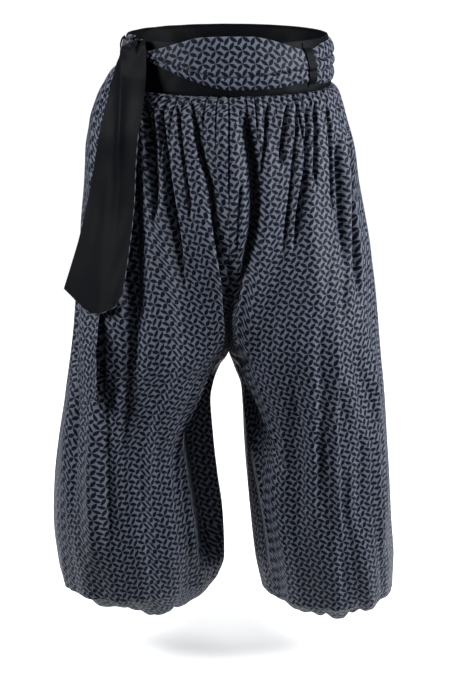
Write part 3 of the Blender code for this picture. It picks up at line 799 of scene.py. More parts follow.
CREASES: dict[Face, tuple[Crease, ...]] = {
    Face.FRONT: (
        # The right hip's, beside and behind the tails.
        Crease(mm(
            (-131, -44), (-126, -96), (-119, -164), (-112, -250),
        ), 0.0060, 0.030, 1.4, lean=0.55),
        Crease(mm((-117, -60), (-114, -119), (-108, -200)), 0.005, 0.009, 1.5),
        Crease(mm(
            (-160, -100), (-153, -200), (-149, -300), (-150, -415), (-160, -545), (-168, -660),
            (-172, -780),
        ), 0.017, 0.032, 1.9, lean=0.15, fade_out=0.60),
        Crease(mm(
            (-206, -270), (-200, -383), (-198, -431), (-199, -479), (-203, -520),
        ), 0.0062, 0.044, 2.4, lean=-0.2),
        # The right front's long folds, which lead into the crotch.
        Crease(mm(
            (-100, -60), (-92, -141), (-85, -195), (-77, -250), (-69, -305), (-64, -365),
        ), 0.0055, 0.026, 1.3, lean=-0.66, fade_out=0.55),
        Crease(mm(
            (-57, -44), (-49, -110), (-41, -141), (-32, -169), (-24, -236), (-13, -292), (-8, -335),
            (-6, -420),
        ), 0.0055, 0.028, 1.3, lean=0.66, fade_out=0.35),
        Crease(mm((-78, -46), (-73, -100), (-66, -160), (-56, -235)), 0.0030, 0.014, 1.3, lean=0.4),
        # The left front's.
        Crease(mm(
            (28, -60), (41, -141), (46, -195), (44, -236), (32, -292), (15, -329), (7, -380),
        ), 0.0095, 0.042, 1.5, lean=-0.55, fade_out=0.35),
        Crease(mm(
            (47, -190), (45, -236), (33, -292), (15, -329), (7, -390),
        ), 0.0034, 0.013, 1.3, lean=-0.6, fade_in=0.3),
        Crease(mm((17, -170), (11, -256), (5, -310)), 0.005, 0.008, 1.5),
        Crease(mm((58, -48), (55, -103), (49, -180)), 0.0028, 0.014, 1.3, lean=-0.4),
        Crease(mm((87, -48), (82, -81), (76, -150)), 0.0030, 0.014, 1.3, lean=0.4),
        Crease(mm((103, -48), (100, -110), (92, -200), (80, -300)), 0.0028, 0.010, 1.3, lean=-0.4),
        Crease(mm(
            (117, -48), (116, -96), (114, -141), (106, -204), (96, -290),
        ), 0.0038, 0.018, 1.3, lean=0.6),
        Crease(mm((130, -48), (133, -103), (131, -190)), 0.0026, 0.012, 1.3, lean=-0.4),
        Crease(mm((148, -48), (156, -120), (160, -240)), 0.0028, 0.010, 1.3, lean=-0.4),
        Crease(mm(
            (168, -110), (174, -200), (178, -330),
        ), 0.0080, 0.013, 1.5, lean=-0.5, fade_out=0.5),
        Crease(mm(
            (178, -62), (188, -111), (196, -200), (202, -302), (204, -390),
        ), 0.0070, 0.034, 1.3, lean=-0.5, fade_out=0.45),
        # Ridges between them.
        Crease(mm((-112, -120), (-102, -272), (-84, -420)), 0.014, -0.006, 2.0),
        Crease(mm((123, -150), (129, -272), (133, -400)), 0.013, -0.006, 2.0),
        Crease(mm((181, -110), (184, -256), (187, -420)), 0.010, -0.005, 2.0),
        # Down the left leg.
        Crease(mm(
            (166, -360), (166, -520), (170, -650), (180, -740), (188, -820),
        ), 0.011, -0.010, 1.6, lean=-0.62, fade_in=0.3),
        Crease(mm(
            (148, -400), (148, -520), (150, -640), (158, -760), (162, -850),
        ), 0.012, 0.006, 1.8, fade_in=0.6),
        Crease(mm(
            (134, -380), (135, -600), (138, -780),
        ), 0.009, -0.007, 1.6, lean=-0.6, fade_in=0.4),
        Crease(mm(
            (200, -400), (204, -520), (209, -640), (214, -800),
        ), 0.013, 0.007, 1.8, fade_in=0.6),
        Crease(mm(
            (216, -380), (228, -520), (240, -660), (252, -830),
        ), 0.010, -0.010, 1.6, lean=-0.6, fade_in=0.3),
        Crease(mm((98, -360), (104, -560), (108, -780)), 0.018, 0.008, 1.8, fade_in=0.5),
        # Light ridges along the front's turned edges inside the left leg.
        Crease(mm((24, -480), (43, -530), (57, -562), (88, -618), (96, -650)), 0.0032, -0.004, 1.6),
        Crease(mm((40, -620), (50, -670), (64, -749), (72, -830)), 0.0032, -0.004, 1.6),
        # Down the right leg.
        Crease(mm((-206, -500), (-214, -628), (-220, -850)), 0.015, -0.014, 1.8),
        Crease(mm(
            (-236, -330), (-243, -420), (-247, -500), (-250, -600), (-251, -800),
        ), 0.012, 0.022, 1.7, fade_in=0.15, fade_out=0.7),
        Crease(mm((-188, -480), (-192, -640), (-194, -840)), 0.009, 0.008, 1.6),
        Crease(mm((-112, -400), (-112, -580), (-108, -800)), 0.020, 0.007, 1.8, fade_in=0.6),
    ),
    Face.BACK: (
        Crease(mm((-35, -50), (-28, -235), (-8, -410)), 0.011, 0.020, 1.4),
        Crease(mm((42, -55), (34, -230), (8, -390)), 0.010, 0.019, 1.4),
        Crease(mm((-95, -50), (-85, -195), (-68, -350)), 0.009, 0.016, 1.4, lean=0.2),
        Crease(mm((104, -48), (96, -172), (80, -310)), 0.009, 0.016, 1.4, lean=-0.2),
        Crease(mm((150, -70), (156, -295), (160, -520)), 0.012, 0.014, 1.6),
        Crease(mm((-160, -80), (-168, -335), (-170, -580)), 0.013, 0.015, 1.6),
        Crease(mm((120, -460), (140, -680), (150, -850)), 0.013, 0.012, 1.6),
        Crease(mm((-130, -500), (-150, -715), (-160, -850)), 0.013, 0.013, 1.6),
        Crease(mm((66, -48), (64, -110), (60, -200)), 0.006, 0.011, 1.4),
        Crease(mm((-64, -48), (-62, -120), (-55, -230)), 0.006, 0.012, 1.4),
        Crease(mm((-128, -48), (-130, -120), (-126, -220)), 0.006, 0.011, 1.4),
        Crease(mm((134, -48), (138, -110), (136, -190)), 0.006, 0.010, 1.4),
        Crease(mm((200, -150), (208, -330), (210, -500)), 0.012, 0.011, 1.6),
        Crease(mm((-205, -130), (-214, -310), (-222, -500)), 0.012, 0.011, 1.6),
        Crease(mm((86, -460), (94, -600), (104, -800)), 0.014, -0.007, 1.8),
        Crease(mm((-86, -480), (-96, -640), (-108, -820)), 0.014, -0.007, 1.8),
        Crease(mm((206, -500), (214, -660), (220, -840)), 0.011, 0.011, 1.6),
        Crease(mm((-214, -500), (-226, -660), (-230, -840)), 0.011, 0.012, 1.6),
    ),
}


@dataclass(frozen=True)
class TurnedFront:
    """Where a leg's front folds over at its inner side, so that the cloth past the fold goes back.

    path holds (distance from the middle plane, level). share is how far back that cloth goes,
    and lift is how far forward the fold itself stands.
    """

    side: int
    path: Array
    share: float
    lift: float
    lift_reach: float = 0.024
    soft: float = 0.0012
    fade_in: float = 0.12
    fade_out: float = 0.20

    def moved(self, points: Array) -> Array:
        """A front panel's points with the cloth past the fold set back."""
        distances, levels = self.path.T
        down = (levels[0] - points[..., 2]) / (levels[0] - levels[-1])
        strength = ease(down / self.fade_in) * ease((1 - down) / self.fade_out)
        short = Curve(levels, distances)(points[..., 2]) - self.side * points[..., 0]
        past = ease(short / self.soft)
        raised = bell(np.maximum(-short, 0.0), self.lift_reach, 1)
        moved = points.copy()
        moved[..., 1] *= 1 - self.share * strength * past
        moved[..., 1] -= self.lift * strength * (1 - past) * raised
        return moved


TURNED_FRONTS = (
    TurnedFront(-1, mm(
        (20, -470), (32, -491), (58, -551), (71, -580), (73, -601), (66, -663), (52, -776),
        (48, -840),
    ), 0.80, 0.024),
    TurnedFront(1, mm(
        (12, -465), (23, -479), (43, -530), (55, -560), (84, -613), (100, -650),
    ), 0.34, 0.012, soft=0.0045, fade_out=0.45),
    TurnedFront(1, mm(
        (34, -600), (46, -670), (61, -749), (68, -806), (70, -850),
    ), 0.26, 0.010, soft=0.0060, fade_in=0.35, fade_out=0.25),
)


@dataclass(frozen=True)
class Gathers:
    """Cloth drawn up on a thread: crisp valleys between round ridges, uneven in length and depth.

    places are the valleys' shares of the way across a panel.
    """

    places: tuple[float, ...]
    seed: int
    depth: float
    length: float
    half_width: float
    widening: float
    crisp: float = 1.45
    seam_strength: float = 0.70
    start: float = 0.12
    # How much the valleys differ, and how their strength ends.
    length_spread: tuple[float, float] = (0.55, 1.35)
    length_power: float = 1.8
    depth_spread: tuple[float, float] = (0.35, 1.35)
    depth_power: float = 1.5
    lean_spread: tuple[float, float] = (-0.35, 0.35)
    fade_power: float = 1.2

    def __call__(self, fall: float, shares: Array, lengths: Array) -> Array:
        """How far the valleys sink a row.

        Args:
            fall: how far the row is from the thread, in metres.
            shares: the row's shares of the way across.
            lengths: the same places in metres along the row.

        Returns:
            The depth at each place.
        """
        rng = np.random.default_rng(self.seed)
        sunk = np.zeros(len(shares))
        for place in self.places:
            length = self.length * rng.uniform(*self.length_spread) ** self.length_power
            depth = self.depth * rng.uniform(*self.depth_spread) ** self.depth_power
            drift = rng.uniform(-1.0, 1.0) * self.half_width
            lean = rng.uniform(*self.lean_spread)
            share = fall / length
            if share >= 1:
                continue
            width = self.half_width + self.widening * share
            strength = blend(self.seam_strength, 1.0, float(ease(share / self.start)))
            strength *= (1 - share) ** self.fade_power
            offset = lengths - np.interp(place, shares, lengths) - drift * share
            width = width * np.where(offset > 0, 1 + lean, 1 - lean)
            sunk += depth * strength * bell(offset, width, self.crisp)
        return sunk


def uneven_places(count: int, wander: float, seed: int) -> tuple[float, ...]:
    """Shares from 0 to 1, one for each gather, each moved a little from even spacing."""
    rng = np.random.default_rng(seed)
    return tuple((np.arange(count) + 0.5 + rng.uniform(-wander, wander, count)) / count)


def seam_places(distances: Array, half_width: float = 0.159) -> tuple[float, ...]:
    """The shares of a front's waist seam at distances from the middle plane."""
    return tuple(2 * math.asin(min(x / half_width, 1.0)) / math.pi for x in distances)


PUSH_FALLS = mm(0, 6, 12, 20, 30, 40, 62.7, 100)


@dataclass
class LegPanel:
    """One printed panel: half a leg from the waist seam to the ankle, with its side of the hips."""

    leg: LegForm
    face: Face
    seed: int
    waist_gathers: Gathers
    waist_puckers: Gathers
    hem_gathers: Gathers
    # How much higher than level the hem hangs, from the inseam round to the side seam.
    hem_lift: Curve = Curve((0.0, 1.0), (0.0, 0.0))
    home_rows: dict = field(default_factory=dict)
    cut_width: float = 0.460

    # The grid: its columns, the one that hangs straight, and rows that are closer at the gathers.
    columns: int = 274
    middle: int = 123
    seam_rows: tuple[float, ...] = (0.0, 0.0012, 0.0026, 0.0042)
    rows_from: float = 0.0062
    row_bands: Pairs = (
        (-0.115, 0.0021),
        (-0.400, 0.0029),
        (-0.790, 0.0037),
    )
    last_rows: int = 28
    home_columns: int = 161

    # The waist seam follows the band's tilt, which ends below it.
    waist_level: float = -0.0373
    tilt_ends: float = -0.120

    # Under the knot the right hip's gathers are pushed up and out over the band: how far out and
    # how high they stand at distances below the waist seam, and the share of the way they start.
    push_out: Curve = Curve(PUSH_FALLS, mm(159, 167, 174, 183, 194, 204, 217, 222))
    push_up: Curve = Curve(PUSH_FALLS, mm(0, 23, 39, 39, 32, 24, 7, 0))
    push_start: float = 0.62
    push_spread: float = 0.30
    push_ends: float = 0.100
    push_fade: float = 0.03

    # The hem rolls under and in, and then up into its casing.
    hem_rows: int = 40
    hem_steps: int = 7
    hem_inward: Curve = Curve(range(8), (0.00, 0.10, 0.26, 0.48, 0.72, 0.92, 1.00, 1.00))
    hem_drop: Curve = Curve(range(8), (0.00, 0.20, 0.48, 0.78, 0.97, 1.00, 0.72, 0.48))
    hem_calm: Table = ((0, 3, 5, 7, 8), (1, 0.9, 0.75, 0.35, 0.2))
    lump_fade: Table = ((0, 2.5, 4.5, 6.5, 7), (0, 1, 1, 0.2, 0))
    hem_gather_steps: float = 3
    ankle_radius: float = 0.0520
    casing_radius: float = 0.0462
    casing_place: float = 0.55
    lip_level: float = -0.9115
    lip_height: float = 0.030

    # Soft shapes with no fixed places. A seed here is added to the panel's own.
    hang_from: float = 0.25
    drape: Unevenness = Unevenness(0, 0.070, 0.40, 0.0022)
    crumple: Unevenness = Unevenness(1, 0.026, 0.09, 0.0006)
    hem_lumps: Unevenness = Unevenness(9, 0.110, 9.0, 0.0048)
    fold_wander: Unevenness = Unevenness(7, 0.16, 0.60, 1.7)
    fold_strength: Unevenness = Unevenness(8, 0.20, 0.45, 0.55)
    fold_middle: float = 0.55
    fold_pitch: float = 0.058
    fold_depth: float = 0.0020
    fold_start: float = 0.05
    fold_fade: float = 0.12
    calm_top: float = 0.06
    calm_foot: float = 0.08
    stand_off: float = 0.0020
    puff: float = 0.0020
    puff_place: float = 0.011
    puff_half_width: float = 0.010
    tucked_rows: tuple[float, float] = (0.0036, 0.0016)

    # Each seam lies in a narrow groove, because its allowances turn in: (depth, half width).
    seam_lap: float = 0.0003
    centre_grooves: Pairs = ((0.0050, 0.0016), (0.0012, 0.006))
    side_groove: tuple[float, float] = (0.0022, 0.0018)
    side_calm: float = 0.016
    inseam_calm: float = 0.012
    inseam_start: float = 0.03
    inseam_fade: float = 0.05
    seam_reach: float = 0.010

    # The print takes up this much of what goes into the folds, and its rows are smoothed.
    print_take_up: float = 0.14
    print_window: int = 43

    @property
    def name(self) -> str:
        """The panel's node."""
        return f"{self.face.name.lower()}_{self.leg.name}"

    @property
    def shares(self) -> Array:
        """The columns' shares of the way from the inseam to the side seam."""
        return np.linspace(0.0, 1.0, self.columns)

    def levels(self) -> Array:
        """The rows' levels above the hem, closer at the gathers."""
        start = self.waist_level - self.rows_from
        parts = [self.waist_level - np.array(self.seam_rows)]
        for end, step in self.row_bands:
            parts.append(np.arange(start, end, -step))
            start = end
        return np.concatenate([*parts, np.linspace(start, self.leg.hem_start, self.last_rows)])

    def rolled_hem(self) -> list[Array]:
        """The rows that roll under and in to the ankle, and the last one inside the casing."""
        leg = self.leg
        full_x, full_y = leg.row(self.face, leg.hem_start, self.shares)
        angles = math.pi * self.shares
        ankle_x = leg.side * (leg.ankle - self.ankle_radius * np.cos(angles))
        ankle_y = self.face.value * self.ankle_radius * np.sin(angles)
        rows = []
        for place in np.linspace(0, self.hem_steps, self.hem_rows)[1:]:
            inward = self.hem_inward(place)
            x, y = blend(full_x, ankle_x, inward), blend(full_y, ankle_y, inward)
            level = blend(leg.hem_start, self.lip_level, self.hem_drop(place))
            rows.append(np.stack([x, y, np.full(self.columns, level)], axis=1))
        top = rows[-1].copy()
        centre = np.array([leg.side * leg.ankle, 0.0])
        top[:, :2] = centre + (top[:, :2] - centre) * (self.casing_radius / self.ankle_radius)
        top[:, 2] = blend(leg.hem_start, self.lip_level, self.casing_place)
        return [*rows, top]

    def plain_grid(self, levels: Array) -> Array:
        """The panel's points with no fold."""
        rows = []
        for level in levels:
            x, y = self.leg.row(self.face, level, self.shares)
            share = (level - self.tilt_ends) / (self.waist_level - self.tilt_ends)
            z = level + WAIST.tilt * y * ease(share)
            if self.leg.side < 0:
                fall = self.waist_level - level
                pushed = ease((self.shares - self.push_start) / self.push_spread)
                wider = self.push_out(fall) / self.leg.outer(level) - 1
                x = x * (1 + pushed * wider * ease((self.push_ends - fall) / self.push_fade))
                z = z + pushed * self.push_up(fall)
            rows.append(np.stack([x, y, z], axis=1))
        return np.array(rows + self.rolled_hem())

    def crease_row(self, level: float, lengths: Array) -> Array:
        """How far the main creases sink a row."""
        sunk = np.zeros(len(lengths))
        for crease in CREASES[self.face]:
            found, side = crease.centre(level), crease.side
            if found is None or (side != self.leg.side and level < self.leg.crotch_level):
                continue
            x, down = found
            home = (side, level)
            if home not in self.home_rows:
                fine = np.linspace(0, 1, self.home_columns)
                row_x, row_y = (LEFT_LEG if side > 0 else RIGHT_LEG).row(self.face, level, fine)
                steps = np.hypot(np.diff(row_x), np.diff(row_y))
                run = np.concatenate([[0.0], np.cumsum(steps)])
                self.home_rows[home] = (np.maximum.accumulate(side * row_x), run)
            place = np.interp(abs(x), *self.home_rows[home]) * (1 if x * side >= 0 else -1)
            sunk += crease.sunk(self.leg.side * lengths - side * place, down)
        return sunk

    def soft_folds(self, lengths: Array, down: Array) -> Array:
        """Long soft folds with no fixed places: narrow shallow valleys between round ridges."""
        wander = self.fold_wander(lengths, down, self.seed)
        strength = ease(self.fold_middle + self.fold_strength(lengths, down, self.seed))
        wave = np.maximum(np.cos(2 * math.pi * lengths / self.fold_pitch + wander), 0.0)
        return self.fold_depth * wave**3 * strength

    def hem_places(self, rows: int, levels: int) -> Array:
        """How far round the hem's roll each row lies, in its curves' steps."""
        past = np.maximum(np.arange(rows) - levels + 1, 0)
        return past * self.hem_steps / (self.hem_rows - 1)

    def sunk_grid(self, plain: Array, levels: Array) -> Array:
        """How far each point sinks into a gather or a crease."""
        lengths = row_lengths(plain)
        sunk = np.zeros(plain.shape[:2])
        for row, place in enumerate(self.hem_places(len(plain), len(levels))):
            if row < len(levels):
                fall = self.waist_level - levels[row]
                sunk[row] += self.waist_gathers(fall, self.shares, lengths[row])
                sunk[row] += self.waist_puckers(fall, self.shares, lengths[row])
                sunk[row] += self.crease_row(levels[row], lengths[row])
                rise = levels[row] - self.leg.hem_start + self.lip_height
            else:
                rise = self.lip_height * max(0.0, 1 - place / self.hem_gather_steps)
            sunk[row] += self.hem_gathers(max(rise, 0.0), self.shares, lengths[row])
        return sunk

    def folded_grid(self, plain: Array, levels: Array) -> Array:
        """The worn panel's points."""
        lengths, down = row_lengths(plain), column_lengths(plain)
        # Soft shapes are laid out from the panel's middle, so they hang straight past the crotch.
        centred = lengths - lengths[:, self.middle : self.middle + 1] + self.hang_from
        edge = np.sin(math.pi * self.shares) ** 0.5
        body = ease(down / self.calm_top)
        body = body * ease((down.max() - self.calm_top - down) / self.calm_foot)
        begun = ease((down - self.fold_start) / self.fold_fade)
        soft = self.soft_folds(centred, down) * edge * begun * body
        from_end = lengths[:, -1:] - lengths
        below = self.leg.crotch_level + self.inseam_start - plain[..., 2]
        below = ease(below / self.inseam_fade)
        sunk = (self.sunk_grid(plain, levels) + soft) * ease(from_end / self.side_calm)
        sunk *= blend(1.0, ease(lengths / self.inseam_calm), below)
        swell = self.drape(centred, down, self.seed) + self.crumple(centred, down, self.seed)
        puff = self.puff * bell(down - self.puff_place, self.puff_half_width)
        out = self.stand_off + puff - sunk + swell * edge * body
        grooves = [depth * bell(lengths, width) for depth, width in self.centre_grooves]
        depth, width = self.side_groove
        out = out - sum(grooves) - depth * bell(from_end, width)
        for row, tuck in enumerate(self.tucked_rows):
            out[row] -= tuck
        sign = self.leg.side * self.face.value
        normals = ClothSheet(self.name, plain, 0.0, sign).normals()
        # The hem's underside and its curl keep nearer their own form.
        places = self.hem_places(len(plain), len(levels))
        calm = np.interp(places, *self.hem_calm)
        points = plain + (out * calm[:, None])[..., None] * normals
        lumps = self.hem_lumps(lengths, down, self.seed) + self.hem_lift(self.shares)
        points[..., 2] += lumps * np.interp(places, *self.lump_fade)[:, None] * edge
        return self.kept_apart(self.shut(points, plain, below))

    def shut(self, points: Array, plain: Array, below: Array) -> Array:
        """Shuts the seams: the centre seam in the middle plane, the others in the side plane.

        Args:
            points: the folded panel.
            plain: the same panel with no fold.
            below: how far each point is below the crotch, from 0 to 1.

        Returns:
            The same points, moved at the seams.
        """
        lengths, lap = row_lengths(plain), self.seam_lap
        near = bell(lengths, self.seam_reach)
        far = bell(lengths[:, -1:] - lengths, self.seam_reach)
        under = ease((self.leg.crotch_level - plain[..., 2]) / self.seam_reach)
        points[..., 0] -= points[:, :1, 0] * near * (1 - below)
        points[..., 1] -= points[:, :1, 1] * near * under
        points[..., 1] -= points[:, -1:, 1] * far
        points[:, 0, 0] -= self.leg.side * lap * (1 - below[:, 0])
        laps = np.stack([below[:, 0], np.ones(len(plain))], axis=1)
        points[:, [0, -1], 1] -= self.face.value * lap * laps
        return points

    def turned_grid(self, points: Array) -> Array:
        """The points once the front has folded over at its inner side."""
        for turned in TURNED_FRONTS:
            if self.face is Face.FRONT and turned.side == self.leg.side:
                points = turned.moved(points)
        return self.kept_apart(points)

    def kept_apart(self, points: Array) -> Array:
        """Points held to their own side of the seams' planes, with a hair's lap."""
        kept = points.copy()
        for axis, sign in ((0, self.leg.side), (1, self.face.value)):
            kept[..., axis] = sign * np.maximum(sign * kept[..., axis], -self.seam_lap)
        return kept

    def print_places(self, points: Array, plain: Array) -> Array:
        """Each point's place on the flat panel, so that the print follows the folds.

        Args:
            points: the panel with its folds, before the front's inner side is turned.
            plain: the same panel with no fold.

        Returns:
            The places, in metres. The gathers take up most of the cloth that goes into the folds,
            so the print stays straight on the ridges between them.
        """
        turned, flat = row_lengths(self.turned_grid(points)), row_lengths(self.turned_grid(plain))
        across = blend(flat, turned, self.print_take_up)
        across = across - across[:, self.middle : self.middle + 1]
        down = np.array([smoothed(row, self.print_window) for row in column_lengths(points)])
        return np.stack([self.leg.side * across, -down], axis=2)

    def dress(self, finishes: Finishes) -> None:
        """Builds the panel."""
        levels = self.levels()
        plain = self.plain_grid(levels)
        points = self.folded_grid(plain, levels)
        places = self.print_places(points, plain)
        points = self.turned_grid(points)
        sign = self.leg.side * self.face.value
        sheet = ClothSheet(f"{self.name}_cloth", points, 0.0, sign, places=places)
        piece = sheet.dress(finishes, Slot.PRINTED, self.name)
        length = rounded(column_lengths(points)[-1].mean())
        band = "waistband_back" if self.face is Face.BACK else f"waistband_front_{self.leg.name}"


# ---- the waistband and its loops


@dataclass(frozen=True)
class BandPiece:
    """One length of the waistband, between two turns in degrees."""

    place: str
    start: float
    end: float
    # The left front laps over the right one at the centre, and hangs a little lower there.
    lap_out: float = 0.0
    lap_drop: float = 0.0


@dataclass
class Waistband:
    """The black band: two fronts that meet at the centre front, and a back."""

    top: float = 0.039
    bottom: float = -0.0370
    thickness: float = 0.0022
    rows: int = 26
    step: float = 1.0
    lap_turn: float = 32.0
    gap_turn: float = 0.004
    swell: Unevenness = Unevenness(41, 0.050, 0.060, 0.0007)
    # The band's two long edges are pressed in a little.
    pressed: float = 0.0009
    press_sharpness: float = 8
    pieces: tuple[BandPiece, ...] = (
        BandPiece("front_right", -90, 0),
        BandPiece("front_left", 0, 90, lap_out=0.0006, lap_drop=0.0022),
        BandPiece("back", 90, 270),
    )

    def dress(self, finishes: Finishes) -> None:
        """Builds the three lengths."""
        height = self.top - self.bottom
        heights = np.linspace(0, 1, self.rows)[:, None]
        edge = np.sin(math.pi * heights)
        pressed = self.pressed * (1 - np.minimum(edge * self.press_sharpness, 1))
        for part in self.pieces:
            count = int((part.end - part.start) / self.step) + 1
            turns = np.linspace(part.start + self.gap_turn, part.end - self.gap_turn, count)
            run = WAIST.run(turns)
            lap = ease(1 - turns / self.lap_turn) if part.lap_drop else np.zeros(len(turns))
            level = blend(self.top, self.bottom - part.lap_drop * lap, heights)
            swell = self.swell(run, heights * height, len(part.place))
            out = part.lap_out * lap + swell * edge**0.5 - pressed
            points = WAIST.points(turns, out, level)
            places = np.stack(np.broadcast_arrays(run, -heights * height), axis=2)
            name = f"waistband_{part.place}"
            sheet = ClothSheet(f"{name}_cloth", points, self.thickness, places=places)
            piece = sheet.dress(finishes, Slot.BLACK, name)
            length = rounded(WAIST.run(part.end) - WAIST.run(part.start))


@dataclass(frozen=True)
class LoopPlace:
    """Where a belt loop is sewn: its turn, and how far its foot leans from its top."""

    name: str
    turn: float
    lean: float = 0.0


@dataclass
class BeltLoops:
    """Black belt loops, folded flat and sewn to the band above and below the sash."""

    width: float = 0.014
    thickness: float = 0.0015
    top: float = 0.0365
    bottom: float = -0.0310
    rows: int = 56
    columns: int = 13
    bed: float = 0.0008
    slack: float = 0.0001
    # The strip lies on the highest of the sash's folds this far to each side of its middle.
    feel: tuple[float, ...] = (-2.0, 0.0, 2.0)
    window: int = 7
    # The folded strip is a little fuller along its two edges, where it lies on the sash.
    edge_height: float = 0.0005
    edge_place: float = 0.42
    edge_half_width: float = 0.06
    on_sash: float = 0.004
    # The sash's turns start here, so a loop further back is met a whole turn on.
    sash_start: float = -50.0
    places: tuple[LoopPlace, ...] = (
        LoopPlace("loop_front_left", 47.3, 5.0),
        LoopPlace("loop_side_right", -86.0),
        LoopPlace("loop_back_left", 140.0),
        LoopPlace("loop_back_right", 220.0),
    )

    def profile(self, turn: float, levels: Array) -> Array:
        """How far out a loop runs from top to bottom, drawn tight over the sash.

        Args:
            turn: where the loop is sewn.
            levels: the rows' levels, from the top down.

        Returns:
            The distance off the band at each level.
        """
        sash = SashWrap()
        outs = np.full(len(levels), self.bed + self.thickness)
        for near in self.feel:
            outs = np.maximum(outs, sash.surface(turn + near, levels) + self.thickness + self.slack)
        # The strip bridges the sash's narrow folds, and turns sharply over its edges.
        bridged = np.max([np.roll(outs, shift) for shift in (-1, 0, 1)], axis=0)
        outs[1:-1] = bridged[1:-1]
        return smoothed(outs, self.window)

    def dress(self, finishes: Finishes) -> None:
        """Builds the loops."""
        levels = np.linspace(self.top, self.bottom, self.rows)
        across = np.linspace(-0.5, 0.5, self.columns)
        edge = self.edge_height * bell(np.abs(across) - self.edge_place, self.edge_half_width)
        for place in self.places:
            middle = place.turn + place.lean * np.linspace(0, 1, self.rows)[:, None]
            turn = float(middle.mean())
            out = self.profile(turn % 360 if place.turn < self.sash_start else turn, levels)
            out = out[:, None]
            turns = middle + np.degrees(self.width / WAIST.slope(np.radians(middle))) * across
            points = WAIST.points(turns, out + edge * (out > self.on_sash), levels[:, None])
            sheet = ClothSheet(f"{place.name}_cloth", points, self.thickness)
            piece = sheet.dress(finishes, Slot.BLACK, place.name)
            length = rounded(column_lengths(points)[-1, self.columns // 2])


# ---- the sash


@dataclass
class TurnedEdge:
    """The sash's turned edge: a narrow roll where its printed face shows past the black one."""

    name: str
    line: Array
    radius: float = 0.0007
    sides: int = 6
    end_share: float = 0.35
    wall_share: float = 0.5
    # A direction that none of the edges runs along, which the roll's section is squared to.
    askew: tuple[float, float, float] = (0.31, -0.88, 0.36)

    def dress(self, finishes: Finishes) -> Piece:
        """Makes the roll along its line, in the printed cotton."""
        along = np.gradient(self.line, axis=0)
        along /= np.linalg.norm(along, axis=1, keepdims=True)
        side = np.cross(along, self.askew)
        side /= np.linalg.norm(side, axis=1, keepdims=True)
        lift = np.cross(side, along)
        angles = np.linspace(0, 2 * math.pi, self.sides, endpoint=False)[None, :, None]
        taper = np.ones(len(self.line))
        taper[[0, -1]] = self.end_share
        ring = np.cos(angles) * side[:, None] + np.sin(angles) * lift[:, None]
        points = self.line[:, None] + self.radius * taper[:, None, None] * ring
        girth = np.linspace(0, 2 * math.pi * self.radius, self.sides + 1)
        run = column_lengths(points)[:, :1]
        places = np.stack(np.broadcast_arrays(girth, run), axis=2)
        wall = self.radius * self.wall_share
        sheet = ClothSheet(self.name, points, wall, -1, closed=True, places=places)
        return sheet.dress(finishes, Slot.PRINTED)


